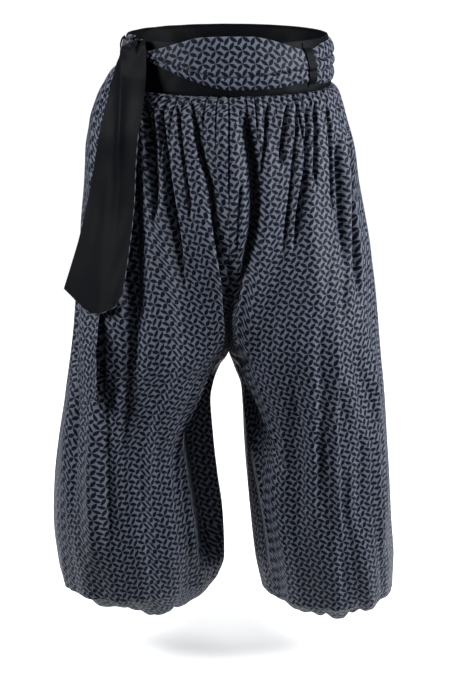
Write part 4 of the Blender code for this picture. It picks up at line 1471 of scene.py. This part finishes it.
@dataclass
class SashWrap:
    """The wide sash round the waist, pleated on itself and drawn narrow at the knot.

    Its turns run from one side of the knot to the other, and a height is a share of the way
    from its lower edge to its upper one.
    """

    rows: int = 92
    start: float = -50
    end: float = 299
    step: float = 1.45
    bed: float = 0.0006
    thickness: float = 0.0012
    body_depth: float = 0.0050
    body_power: float = 0.35
    # The least that the sash's outer face stands off where it would just lie on the band.
    lowest: float = 0.0008
    cut_width: float = 0.120
    worn_width: float = 0.062
    # How far past its edges the sash still lifts a loop, and where its edges' rolls lie.
    margin: float = 0.02
    edge_rise: float = 0.0002
    edge_start: int = 2
    top: Curve = Curve(
        (-50, -40, -28, -15, 0, 12, 22, 33, 44, 52, 64, 90, 180, 262, 280, 290, 299),
        mm(22.5, 29, 38.5, 48, 50, 49.5, 44.5, 35, 26.5, 24.5, 31, 33, 33.5, 32.5, 35, 43, 44),
    )
    bottom: Curve = Curve(
        (-50, -40, -28, -15, 0, 22, 44, 52, 64, 90, 180, 265, 290, 299),
        mm(9, 3, -8, -19, -27.5, -27, -22.5, -22.5, -28.5, -28.5, -28, -21, 4, 6),
    )
    # The heights of the main fold, of the second one, which starts past the loop, and of a short
    # one by the knot.
    fold: Curve = Curve(
        (-50, -40, -28, -15, 5, 22, 33, 44, 56, 90, 180, 265, 299),
        (0.42, 0.36, 0.28, 0.235, 0.245, 0.31, 0.38, 0.42, 0.36, 0.36, 0.34, 0.38, 0.45),
    )
    second: Curve = Curve(
        (-50, 52, 64, 120, 180, 240, 299), (0.66, 0.66, 0.64, 0.66, 0.62, 0.65, 0.66)
    )
    second_strength: Curve = Curve((-50, 46, 58, 200, 299), (0.0, 0.0, 1.0, 0.8, 1.0))
    short: Curve = Curve((-50, -40, -30, -20, -12), (0.26, 0.24, 0.18, 0.15, 0.14))

    # At a fold the upper layer laps over the lower one, with a sharp shadowed edge under it.
    fold_depth: float = 0.0042
    fold_drop: float = 0.0009
    fold_half_width: float = 0.0018
    lap_share: float = 0.55
    lap_edge: float = 0.0009
    lap_reach: float = 0.010
    groove_share: float = 1.6
    short_depth: float = 0.0018
    short_half_width: float = 0.0015
    short_end: float = -14
    short_fade: float = 12

    # Past the front loop the cloth lies in three rolls, with deep lines between them.
    rolls: int = 3
    rolled_from: float = 49
    rolled_fade: float = 7
    rolled_till: float = 150
    rolled_ebb: float = 60
    rolled_least: float = 0.35
    line_depth: float = 0.0030
    line_half_width: float = 0.0034
    line_crisp: float = 1.2
    roll_height: float = 0.0016

    # Towards the knot it is drawn into fine pleats.
    pleat_depth: float = 0.0019
    pleat_pitch: float = 0.0058
    pleat_drift: float = 0.05
    pleat_reach: tuple[float, float] = (16, 14)

    # The loose upper edge stands in towards the wearer at the front.
    swell: Unevenness = Unevenness(77, 0.080, 0.050, 0.0007)
    swell_power: float = 0.4
    slump: float = 0.0022
    slump_level: float = 0.037
    slump_height: float = 0.012
    slump_turns: tuple[float, float] = (-40, 45)
    slump_fade: float = 20

    def rise(self, turns: Array, heights: Array) -> Array:
        """How far the pleated sash stands off its bed."""
        span = self.top(turns) - self.bottom(turns)
        body = self.body_depth * np.sin(math.pi * np.clip(heights, 0, 1)) ** self.body_power
        folds = [(heights - place) * span for place in (self.fold(turns), self.second(turns))]
        for off, strength in zip(folds, (1.0, self.second_strength(turns))):
            depth = strength * self.fold_depth
            lap = ease(off / self.lap_edge) * bell(np.maximum(off, 0), self.lap_reach, 1)
            groove = bell(off + self.fold_drop, self.fold_half_width)
            body = body + depth * self.lap_share * lap - depth * self.groove_share * groove
        off = (heights - self.short(turns)) * span
        by_knot = ease((self.short_end - turns) / self.short_fade)
        body = body - self.short_depth * by_knot * bell(off, self.short_half_width)
        ebb = ease((self.rolled_till - turns) / self.rolled_ebb)
        rolled = ease((turns - self.rolled_from) / self.rolled_fade)
        rolled = rolled * blend(self.rolled_least, 1.0, ebb)
        for off in folds:
            line = bell(off, self.line_half_width, self.line_crisp)
            body = body - self.line_depth * rolled * line
        rolls = np.abs(np.sin(self.rolls * math.pi * heights))
        body = body + self.roll_height * rolled * rolls
        pull = bell(turns - self.start, self.pleat_reach[0])
        pull = pull + bell(turns - self.end, self.pleat_reach[1])
        pleats = heights * span / self.pleat_pitch * 2 * math.pi + turns * self.pleat_drift
        body = body + self.pleat_depth * pull * np.sin(pleats)
        return np.maximum(body, self.lowest)

    def surface(self, turn: float, levels: Array) -> Array:
        """How far the sash's face stands off the band at a turn, 0 above and below the sash."""
        top, bottom = float(self.top(turn)), float(self.bottom(turn))
        heights = (levels - bottom) / (top - bottom)
        out = self.bed + self.thickness + self.rise(np.array([turn]), heights[:, None])[:, 0]
        return np.where((heights > -self.margin) & (heights < 1 + self.margin), out, 0.0)

    def grid(self) -> tuple[Array, Array]:
        """The sash's worn points and their places on the flat cloth."""
        turns = np.arange(self.start, self.end + 0.01, self.step)
        heights = np.linspace(1, 0, self.rows)[:, None]
        top, bottom = self.top(turns), self.bottom(turns)
        level = blend(bottom, top, heights)
        run = WAIST.run(turns)
        first, last = self.slump_turns
        slump = self.slump * ease((level - self.slump_level) / self.slump_height)
        slump = slump * ease((turns - first) / self.slump_fade)
        slump = slump * ease((last - turns) / self.slump_fade)
        swell = self.swell(run, level) * np.sin(math.pi * heights) ** self.swell_power
        out = self.bed + self.thickness + self.rise(turns, heights) + swell - slump
        points = WAIST.points(turns, out, level)
        # The print follows the upper edge above the fold and the lower edge below it.
        cut = np.where(heights > self.fold(turns), top - level, self.cut_width - (level - bottom))
        places = np.stack(np.broadcast_arrays(run, -cut), axis=2)
        return points, places

    def dress(self, finishes: Finishes) -> None:
        """Builds the sash and the rolls along its two edges."""
        points, places = self.grid()
        sheet = ClothSheet("sash_wrap_cloth", points, self.thickness, places=places)
        wrap = sheet.dress(finishes, Slot.PRINTED, "sash_wrap")
        for label, row, rise in (("lower", -1, -self.edge_rise), ("upper", 0, self.edge_rise)):
            line = points[row, self.edge_start : -self.edge_start].copy()
            line[:, 2] += rise
            TurnedEdge(f"sash_{label}_edge", line).dress(finishes)
        length = rounded(row_lengths(points)[self.rows // 2, -1])
        flat, on = (self.worn_width, length), ["waistband_back"]
        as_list(on)


def over_front(x: float, level: float, stand_off: float, most_wrap: float = 0.95) -> float:
    """How far forward cloth hangs at x over the right leg's plain front.

    Args:
        x: distance from the middle plane, either sign.
        level: the height.
        stand_off: how far the cloth hangs off the leg, square to it.
        most_wrap: the steepest slope that the cloth follows round the leg's side.

    Returns:
        The distance in front of the side seams.
    """
    highest, widest, count = -0.056, 0.95, 121
    shares = np.linspace(0, widest, count)
    row_x, row_y = RIGHT_LEG.row(Face.FRONT, min(level, highest), shares)
    row_x, row_y = np.abs(row_x), -row_y
    slopes = np.maximum(np.gradient(row_y, row_x), -most_wrap)
    steps = np.diff(row_x) * (slopes[1:] + slopes[:-1]) / 2
    row_y = row_y[0] + np.concatenate([[0.0], np.cumsum(steps)])
    past = np.maximum(np.abs(x) - row_x[-1], 0.0)
    slope = np.interp(np.abs(x), row_x, slopes)
    forward = np.interp(np.abs(x), row_x, row_y) - most_wrap * past
    return float(forward + stand_off * np.hypot(1.0, slope))


def refined(rows: Array, count: int) -> Array:
    """A grid with more rows, on smooth curves down its columns."""
    down = Curve(range(len(rows)), rows.reshape(len(rows), -1))
    return down(np.linspace(0, len(rows) - 1, count)).reshape(count, *rows.shape[1:])


HANG_LEVELS = mm(-30, -52, -102, -152, -202, -262, -340.5)


@dataclass
class BlackTail:
    """The front tail, black face out: it rolls over the knot and hangs down the hip to a point."""

    columns: int = 49
    rows: int = 190
    thickness: float = 0.0014
    # The roll over the knot: level, left edge x and y, middle y, right edge x and y.
    roll: Table = (
        (0.0240, -0.1430, -0.058, -0.066, -0.1325, -0.076),
        (0.0330, -0.1420, -0.060, -0.068, -0.1330, -0.078),
        (0.0385, -0.1412, -0.063, -0.0705, -0.1330, -0.081),
        (0.0402, -0.1430, -0.0650, -0.0745, -0.1322, -0.0850),
        (0.0384, -0.1462, -0.0655, -0.0795, -0.1300, -0.0895),
        (0.0335, -0.1510, -0.0655, -0.0835, -0.1268, -0.0925),
        (0.0262, -0.1570, -0.0650, -0.0860, -0.1248, -0.0945),
        (0.0170, -0.1618, -0.0640, -0.0875, -0.1240, -0.0960),
        (0.0030, -0.1705, -0.0635, -0.0890, -0.1242, -0.0985),
        (-0.0135, -0.1760, -0.0665, -0.0915, -0.1247, -0.1035),
    )
    hang: tuple[float, ...] = (-0.052, -0.102, -0.152, -0.202, -0.262, -0.308, -0.3405)
    outer_edge: Curve = Curve(HANG_LEVELS, mm(179, 186, 199, 208, 218, 233, 258.5))
    inner_edge: Curve = Curve(HANG_LEVELS, mm(125.6, 128.5, 136.8, 141, 144, 151, 163))
    stand_off: Curve = Curve(HANG_LEVELS, mm(4, 16.5, 16.5, 13, 12, 13.5, 15.5))
    # How far the point hangs past the straight cut, and the share of the hang where it starts.
    cut: Curve = Curve((0.0, 0.50, 0.87, 1.0), (0.0075, 0.0343, 0.0187, 0.0))
    cut_start: float = 0.35
    # The long fold's x down the tail, its strength and height, and the flat side left of it.
    fold_x: Curve = Curve(mm(30, -10, -60, -160, -330), mm(-158, -160, -162, -167, -178))
    fold_strength: Curve = Curve(mm(36, 22, -100, -180, -300), (0.0, 1.0, 1.0, 0.35, 0.0))
    fold_height: float = 0.0058
    fold_half_width: float = 0.0075
    fold_crisp: float = 1.4
    side_depth: float = 0.0016
    side_fade: float = 0.009
    over_roll: float = 0.020
    # The shallow trough beside the fold, between two levels.
    trough_depth: float = 0.0020
    trough_offset: float = 0.014
    trough_half_width: float = 0.009
    trough_ends: Pairs = ((-0.02, 0.06), (0.22, 0.08))
    # Short creases that fan down from the roll: x at the top and foot, depth and length.
    short_creases: Table = (
        (-0.1362, -0.1385, 0.0085, 0.044),
        (-0.1310, -0.1290, 0.0060, 0.030),
        (-0.1425, -0.1500, 0.0070, 0.036),
    )
    short_start: float = 0.008
    short_fades: tuple[float, float] = (0.25, 0.7)
    short_half_width: float = 0.0026
    short_crisp: float = 1.5
    swell: Unevenness = Unevenness(5, 0.110, 0.40, 0.0009)
    swell_fade: float = 0.08
    crumple: Unevenness = Unevenness(6, 0.030, 0.20, 0.0002)
    piping_start: float = -0.085
    piping_out: tuple[float, float, float] = (0.0006, 0.0004, 0.0)
    foot_out: tuple[float, float, float] = (0.0, 0.0005, -0.0004)
    crown_out: tuple[float, float, float] = (0.0, 0.0006, 0.0009)
    crown_rows: int = 60
    crown_ends: tuple[int, int] = (8, -3)
    flat_width: float = 0.098
    flat_area: float = 0.0285

    def control_rows(self) -> Array:
        """The tail's rows from behind the knot to its tip."""
        shares = np.linspace(0, 1, self.columns)
        rows = []
        for level, left_x, left_y, middle_y, right_x, right_y in self.roll:
            x = blend(left_x, right_x, shares)
            y = Curve((0.0, 0.5, 1.0), (left_y, middle_y, right_y))(shares)
            rows.append(np.stack([x, y, np.full(self.columns, level)], axis=1))
        for level in self.hang:
            hung = (level - self.hang[0]) / (self.hang[-1] - self.hang[0])
            pointed = ease((hung - self.cut_start) / (1 - self.cut_start))
            x = -blend(self.outer_edge(level), self.inner_edge(level), shares)
            z = level - self.cut(shares) * pointed
            y = [-over_front(*point, self.stand_off(level)) for point in zip(x, z)]
            rows.append(np.stack([x, y, z], axis=1))
        return np.array(rows)

    def grid(self) -> Array:
        """The worn tail's points."""
        points = refined(self.control_rows(), self.rows)
        normals = ClothSheet("tail", points, self.thickness, -1).normals()
        x, z = points[..., 0], points[..., 2]
        lengths, down = row_lengths(points), column_lengths(points)
        off = x - self.fold_x(z)
        strength = self.fold_strength(z) * ease((down - self.over_roll) / self.over_roll)
        fold = strength * bell(off, self.fold_half_width, self.fold_crisp)
        (top, top_fade), (foot, foot_fade) = self.trough_ends
        trough = ease((top - z) / top_fade) * ease((z + foot) / foot_fade)
        trough = trough * bell(off + self.trough_offset, self.trough_half_width)
        side = strength * ease(-off / self.side_fade)
        out = self.fold_height * fold - self.trough_depth * trough - self.side_depth * side
        fade_in, fade_out = self.short_fades
        for x_top, x_low, depth, length in self.short_creases:
            share = np.clip((down - self.short_start) / length, 0, 1)
            crease = bell(x - blend(x_top, x_low, share), self.short_half_width, self.short_crisp)
            out -= depth * ease(share / fade_in) * ease((1 - share) / fade_out) * crease
        out += self.swell(lengths, down) * ease(down / self.swell_fade)
        out += self.crumple(lengths, down)
        return points + out[..., None] * normals

    def edges(self, points: Array) -> list[TurnedEdge]:
        """The printed rolls: down the inner edge and round the point, and over the knot."""
        inner = points[points[:, -1, 2] < self.piping_start, -1] + np.array(self.piping_out)
        foot = points[-1, ::-1] + np.array(self.foot_out)
        crest = np.argmax(points[: self.crown_rows, :, 2], axis=0)
        first, last = self.crown_ends
        crown = points[crest, np.arange(self.columns)][first:last] + np.array(self.crown_out)
        return [
            TurnedEdge("sash_tail_black_edge", np.concatenate([inner, foot[1:]])),
            TurnedEdge("sash_tail_black_crown", crown),
        ]

    def dress(self, finishes: Finishes) -> None:
        """Builds the tail with its printed rolls."""
        points = self.grid()
        sheet = ClothSheet("sash_tail_black_cloth", points, self.thickness, -1)
        tail = sheet.dress(finishes, Slot.BLACK, "sash_tail_black")
        edges = [edge.dress(finishes) for edge in self.edges(points)]
        flat, on = (self.flat_width, rounded(column_lengths(points)[-1].max())), ["sash_knot"]
        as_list(on)


TAIL_LEVELS = mm(3, -32, -54, -100, -200, -300, -369, -440, -505)


@dataclass
class PrintTail:
    """The hind tail, printed face out, folded lengthways, with its end open."""

    columns: int = 40
    rows: int = 170
    thickness: float = 0.0011
    depth: float = 0.006
    flat_length: float = 0.527
    levels: Array = field(
        default_factory=lambda: mm(
            3, -32, -54, -100, -150, -200, -250, -300, -340, -372, -395, -420, -455, -494
        )
    )
    outer_edge: Curve = Curve(TAIL_LEVELS, mm(156, 164, 170, 184, 202, 218, 226.9, 233, 233))
    inner_edge: Curve = Curve(TAIL_LEVELS, mm(136, 143, 148, 160, 177, 192, 201, 205, 205))
    stand_off: Curve = Curve(
        mm(3, -32, -54, -100, -200, -330, -385, -505), mm(-21.5, -1, 11, 9, 6, 6, 11, 13)
    )
    # How far each place round the fold hangs past the cut: the front layer's point, the hind's
    # foot.
    cut: Curve = Curve((0.0, 0.20, 0.48, 0.56, 0.80, 1.0), mm(0, 16, 4, 22, 18, 0))
    cut_start: float = -0.38
    cut_fade: float = 0.125
    # The ribbon turns its face outwards, and opens a little at its end.
    closed_share: float = 0.35
    opens_from: float = 0.01
    opens_over: float = 0.05
    front_share: float = 0.4
    hind_share: float = 0.6
    turn_out: float = 0.017
    turn_in: float = 0.001
    turn_start: float = -0.378
    turn_fade: float = 0.040
    # Ripples: height, waves round the fold, radians a metre down, and where they start.
    ripples: Table = ((0.0010, 2, 14, 0.0), (0.0007, 4, -23, 1.0))
    ripple_fade: float = 0.1

    def control_rows(self) -> Array:
        """The rows of the folded ribbon, right round: the front layer, then the hind one."""
        around = np.arange(self.columns) / self.columns
        across = (1 - np.cos(2 * math.pi * around)) / 2
        layer = np.sin(2 * math.pi * around)
        rows = []
        for level in self.levels:
            x = -blend(self.outer_edge(level), self.inner_edge(level), across)
            down = ease((self.cut_start - level) / self.cut_fade)
            z = level - self.cut(around) * down
            y = np.array([-over_front(*point, self.stand_off(level)) for point in zip(x, z)])
            full = self.depth * blend(self.closed_share, 1.0, down)
            full = full * ease((self.opens_from - level) / self.opens_over)
            turned = self.turn_out * across - self.turn_in
            turned = turned * ease((self.turn_start - level) / self.turn_fade)
            y = y - turned - full * np.maximum(layer, 0) * self.front_share
            y = y + full * np.maximum(-layer, 0) * self.hind_share
            rows.append(np.stack([x, y, z], axis=1))
        return np.array(rows)

    def dress(self, finishes: Finishes) -> None:
        """Builds the ribbon."""
        points = refined(self.control_rows(), self.rows)
        sheet = ClothSheet("sash_tail_print_cloth", points, self.thickness, -1, closed=True)
        down = column_lengths(points)
        around = 2 * math.pi * np.arange(self.columns)[None] / self.columns
        begun = ease(down / self.ripple_fade)
        ripple = sum(
            height * np.sin(waves * around + fall * down + start) * begun
            for height, waves, fall, start in self.ripples
        )
        sheet.points = points + ripple[..., None] * sheet.normals()
        piece = sheet.dress(finishes, Slot.PRINTED, "sash_tail_print")
        girth = rounded(row_lengths(closed_up(sheet.points))[:, -1].mean())


@dataclass
class SashKnot:
    """The knot's body under the roll: the sash's ends crossed and drawn tight."""

    turn: float = -56.0
    half_width: float = 0.0175
    half_depth: float = 0.0105
    bottom: float = 0.0040
    top: float = 0.0385
    thickness: float = 0.0012
    stand_off: float = 0.0006
    rings: int = 60
    segments: int = 96
    pole: float = 0.985
    fullness: float = 0.495
    twist: float = 0.9
    # The crossed layers show as two sets of ridges: how high they stand, and how many there are.
    ridge: float = 0.10
    ridges: int = 5
    fine_ridge: float = 0.05
    fine_ridges: int = 9
    flat: tuple[float, float] = (0.078, 0.040)

    def dress(self, finishes: Finishes) -> None:
        """Builds the knot."""
        rise = np.linspace(-self.pole, self.pole, self.rings)[:, None]
        around = 2 * math.pi * np.arange(self.segments)[None] / self.segments
        width = (1 - rise**2) ** self.fullness
        swirl = around + self.twist * rise
        ridge = 1 + self.ridge * np.sin(self.ridges * swirl) * width
        ridge = ridge + self.fine_ridge * np.sin(self.fine_ridges * swirl + 2 * rise)
        angle = math.radians(self.turn)
        out = np.array([math.sin(angle), -math.cos(angle), 0.0])
        side = np.array([-out[1], out[0], 0.0])
        middle = (self.top + self.bottom) / 2
        centre = WAIST.points(self.turn, self.half_depth + self.stand_off, middle)
        half = (self.top - self.bottom) / 2
        points = (
            centre
            + (self.half_width * width * ridge * np.cos(around))[..., None] * side
            + (self.half_depth * width * ridge * np.sin(around))[..., None] * out
            + (half * rise * np.ones_like(around))[..., None] * np.array([0.0, 0.0, 1.0])
        )
        sheet = ClothSheet("sash_knot_cloth", points[::-1], self.thickness, closed=True)
        piece = sheet.dress(finishes, Slot.BLACK, "sash_knot")


# ---- the ankles


@dataclass
class AnkleCasings:
    """The printed casings with elastic, puckered, inside the hems' roll."""

    radius: float = 0.0455
    height: float = 0.0170
    thickness: float = 0.0012
    flat_length: float = 0.300
    rows: int = 20
    columns: int = 192
    # The puckers: how deep and how many, how unevenly they stand, and how they ease half way down.
    pucker: float = 0.0011
    puckers: int = 24
    wander: float = 0.4
    wanders: int = 3
    pucker_power: float = 0.8
    ease_off: float = 0.4
    belly: float = 0.0010

    def dress(self, finishes: Finishes) -> None:
        """Builds both casings."""
        around = 2 * math.pi * np.arange(self.columns)[None] / self.columns
        down = np.linspace(0, 1, self.rows)[:, None]
        turned = self.puckers / 2 * around + self.wander * np.sin(self.wanders * around)
        folds = np.abs(np.sin(turned)) ** self.pucker_power
        eased = 1 - self.ease_off + self.ease_off * np.cos(2 * math.pi * down)
        radius = self.radius - self.pucker * (1 - folds) * eased
        radius = radius + self.belly * np.sin(math.pi * down)
        for leg in (RIGHT_LEG, LEFT_LEG):
            top = blend(leg.hem_start, LegPanel.lip_level, LegPanel.casing_place)
            x = leg.side * leg.ankle + radius * np.sin(around)
            y = -radius * np.cos(around)
            points = np.stack([x, y, top - self.height * down + 0 * around], axis=2)
            sheet = ClothSheet(f"cuff_{leg.name}_cloth", points, self.thickness, closed=True)
            piece = sheet.dress(finishes, Slot.PRINTED, f"cuff_{leg.name}")
            f"front_{leg.name}"


# ---- the studio


@dataclass(frozen=True)
class SoftLight:
    """One large soft light: where it stands, its size and its power."""

    name: str
    place: tuple[float, float, float]
    size: float
    power: float
    colour: str = "#ffffff"
    aim: tuple[float, float, float] = (0.0, 0.0, -0.40)


@dataclass
class Studio:
    """A pale round floor in a white surround, soft lights and the camera."""

    floor_level: float = -1.012
    floor_middle: float = 1.10
    floor_radius: float = 1.30
    floor_sides: int = 96
    surround: str = "#ffffff"
    surround_shown: float = 1.05
    surround_light: float = 0.085
    lights: tuple[SoftLight, ...] = (
        SoftLight("left_softbox", (-1.65, -0.80, 0.40), 0.8, 48.0),
        SoftLight("right_softbox", (1.62, -0.66, 0.24), 0.8, 66.0),
        SoftLight("front_softbox", (0.5, -2.8, 1.8), 1.0, 10.0),
        SoftLight("floor_light", (0.0, 1.7, 3.0), 3.0, 140.0, aim=(0.0, 1.4, -1.0)),
    )
    camera_distance: float = 2.725
    camera_height: float = 0.3235
    camera_tilt: float = 16.05
    focal_pixels: float = 1740.0
    image_height: float = 687.0
    sensor: float = 36.0
    view_depth: float = 100.0

    def set_floor(self, finishes: Finishes) -> None:
        """A flat round sheet of background paper under and behind the trousers."""
        angles = 2 * math.pi * np.arange(self.floor_sides) / self.floor_sides
        x = self.floor_radius * np.cos(angles)
        y = self.floor_middle + self.floor_radius * np.sin(angles)
        rim = np.stack([x, y, np.full(self.floor_sides, self.floor_level)], axis=1)
        mesh = bpy.data.meshes.new("studio_paper")
        mesh.from_pydata(rim.tolist(), [], [tuple(range(self.floor_sides))])
        mesh.materials.append(finishes.paper)
        paper = bpy.data.objects.new("studio_paper", mesh)
        bpy.context.scene.collection.objects.link(paper)

    def set_surround(self) -> None:
        """A white surround that is seen past the floor's edge, and gives only a little light."""
        world = bpy.data.worlds.new("studio_surround")
        world.use_nodes = True
        tree = world.node_tree
        tree.nodes.clear()
        seen = add_node(tree, "ShaderNodeLightPath").outputs["Is Camera Ray"]
        ends = {"Value": seen, "To Min": self.surround_light, "To Max": self.surround_shown}
        strength = add_node(tree, "ShaderNodeMapRange", ends).outputs["Result"]
        looks = {"Color": linear(self.surround), "Strength": strength}
        back = add_node(tree, "ShaderNodeBackground", looks)
        add_node(tree, "ShaderNodeOutputWorld", {"Surface": back.outputs["Background"]})
        bpy.context.scene.world = world

    def set_lights(self) -> None:
        """The soft boxes, which stand out of view."""
        for light in self.lights:
            data = bpy.data.lights.new(light.name, "AREA")
            data.shape, data.size, data.energy = "DISK", light.size, light.power
            data.color = linear(light.colour)[:3]
            lamp = bpy.data.objects.new(light.name, data)
            lamp.location = light.place
            lamp.visible_camera = False
            aim = Vector(light.aim) - Vector(light.place)
            lamp.rotation_euler = aim.to_track_quat("-Z", "Y").to_euler()
            bpy.context.scene.collection.objects.link(lamp)

    def set_camera(self) -> None:
        """A long lens in front, a little above the waist, looking down the legs."""
        data = bpy.data.cameras.new("studio_camera")
        data.sensor_width = self.sensor
        data.lens = self.focal_pixels / self.image_height * self.sensor
        data.clip_end = self.view_depth
        camera = bpy.data.objects.new("studio_camera", data)
        camera.location = (0.0, -self.camera_distance, self.camera_height)
        camera.rotation_euler = (math.radians(90 - self.camera_tilt), 0.0, 0.0)
        bpy.context.scene.collection.objects.link(camera)
        bpy.context.scene.camera = camera
        bpy.context.scene.view_settings.view_transform = "Standard"

    def build(self, finishes: Finishes) -> None:
        """Sets the whole studio."""
        self.set_floor(finishes)
        self.set_surround()
        self.set_lights()
        self.set_camera()
        LOG.info("studio: %d lights", len(self.lights))


# ---- the garment

# Distances of each front's valleys from the middle plane, at the waist seam.
FRONT_VALLEYS = {
    RIGHT_LEG.side: mm(15, 28, 42, 54, 64, 75, 87, 99, 111, 118, 130, 141, 150, 157),
    LEFT_LEG.side: mm(13.5, 25, 37, 47, 64, 75, 94, 102, 115, 127, 139, 151),
}
RIGHT_FRONT_LIFT = Curve((0.0, 0.35, 0.55, 0.75, 0.92, 1.0), mm(0, 0, 7, 14, 8, 0))


def leg_panels() -> list[LegPanel]:
    """The four panels with their own gathers."""
    panels = []
    for leg in (RIGHT_LEG, LEFT_LEG):
        for face in Face:
            seed = 100 + 10 * (leg.side + 1) + (face.value + 1)
            valleys = uneven_places(16, 0.28, seed)
            if face is Face.FRONT:
                valleys = seam_places(FRONT_VALLEYS[leg.side])
            puckers, hem = uneven_places(26, 0.42, seed + 3), uneven_places(9, 0.45, seed + 5)
            # Each kind's depth, length, half width and widening.
            panel = LegPanel(
                leg,
                face,
                seed,
                Gathers(valleys, seed, 0.0075, 0.105, 0.0014, 0.0014, 1.35, seam_strength=0.55),
                Gathers(puckers, seed + 4, 0.0017, 0.022, 0.0022, 0.0012, seam_strength=0.9),
                Gathers(hem, seed + 6, 0.0085, 0.080, 0.0075, 0.0090, seam_strength=1.0),
            )
            if leg is RIGHT_LEG and face is Face.FRONT:
                panel.hem_lift = RIGHT_FRONT_LIFT
            panels.append(panel)
    return panels


def main() -> None:
    """Dresses the garment and sets the studio."""
    finishes = Finishes.made()
    for part in (
        *leg_panels(),
        AnkleCasings(),
        Waistband(),
        SashWrap(),
        SashKnot(),
        PrintTail(),
        BlackTail(),
        BeltLoops(),
    ):
        part.dress(finishes)
    Studio().build(finishes)


if __name__ == "__main__":
    main()
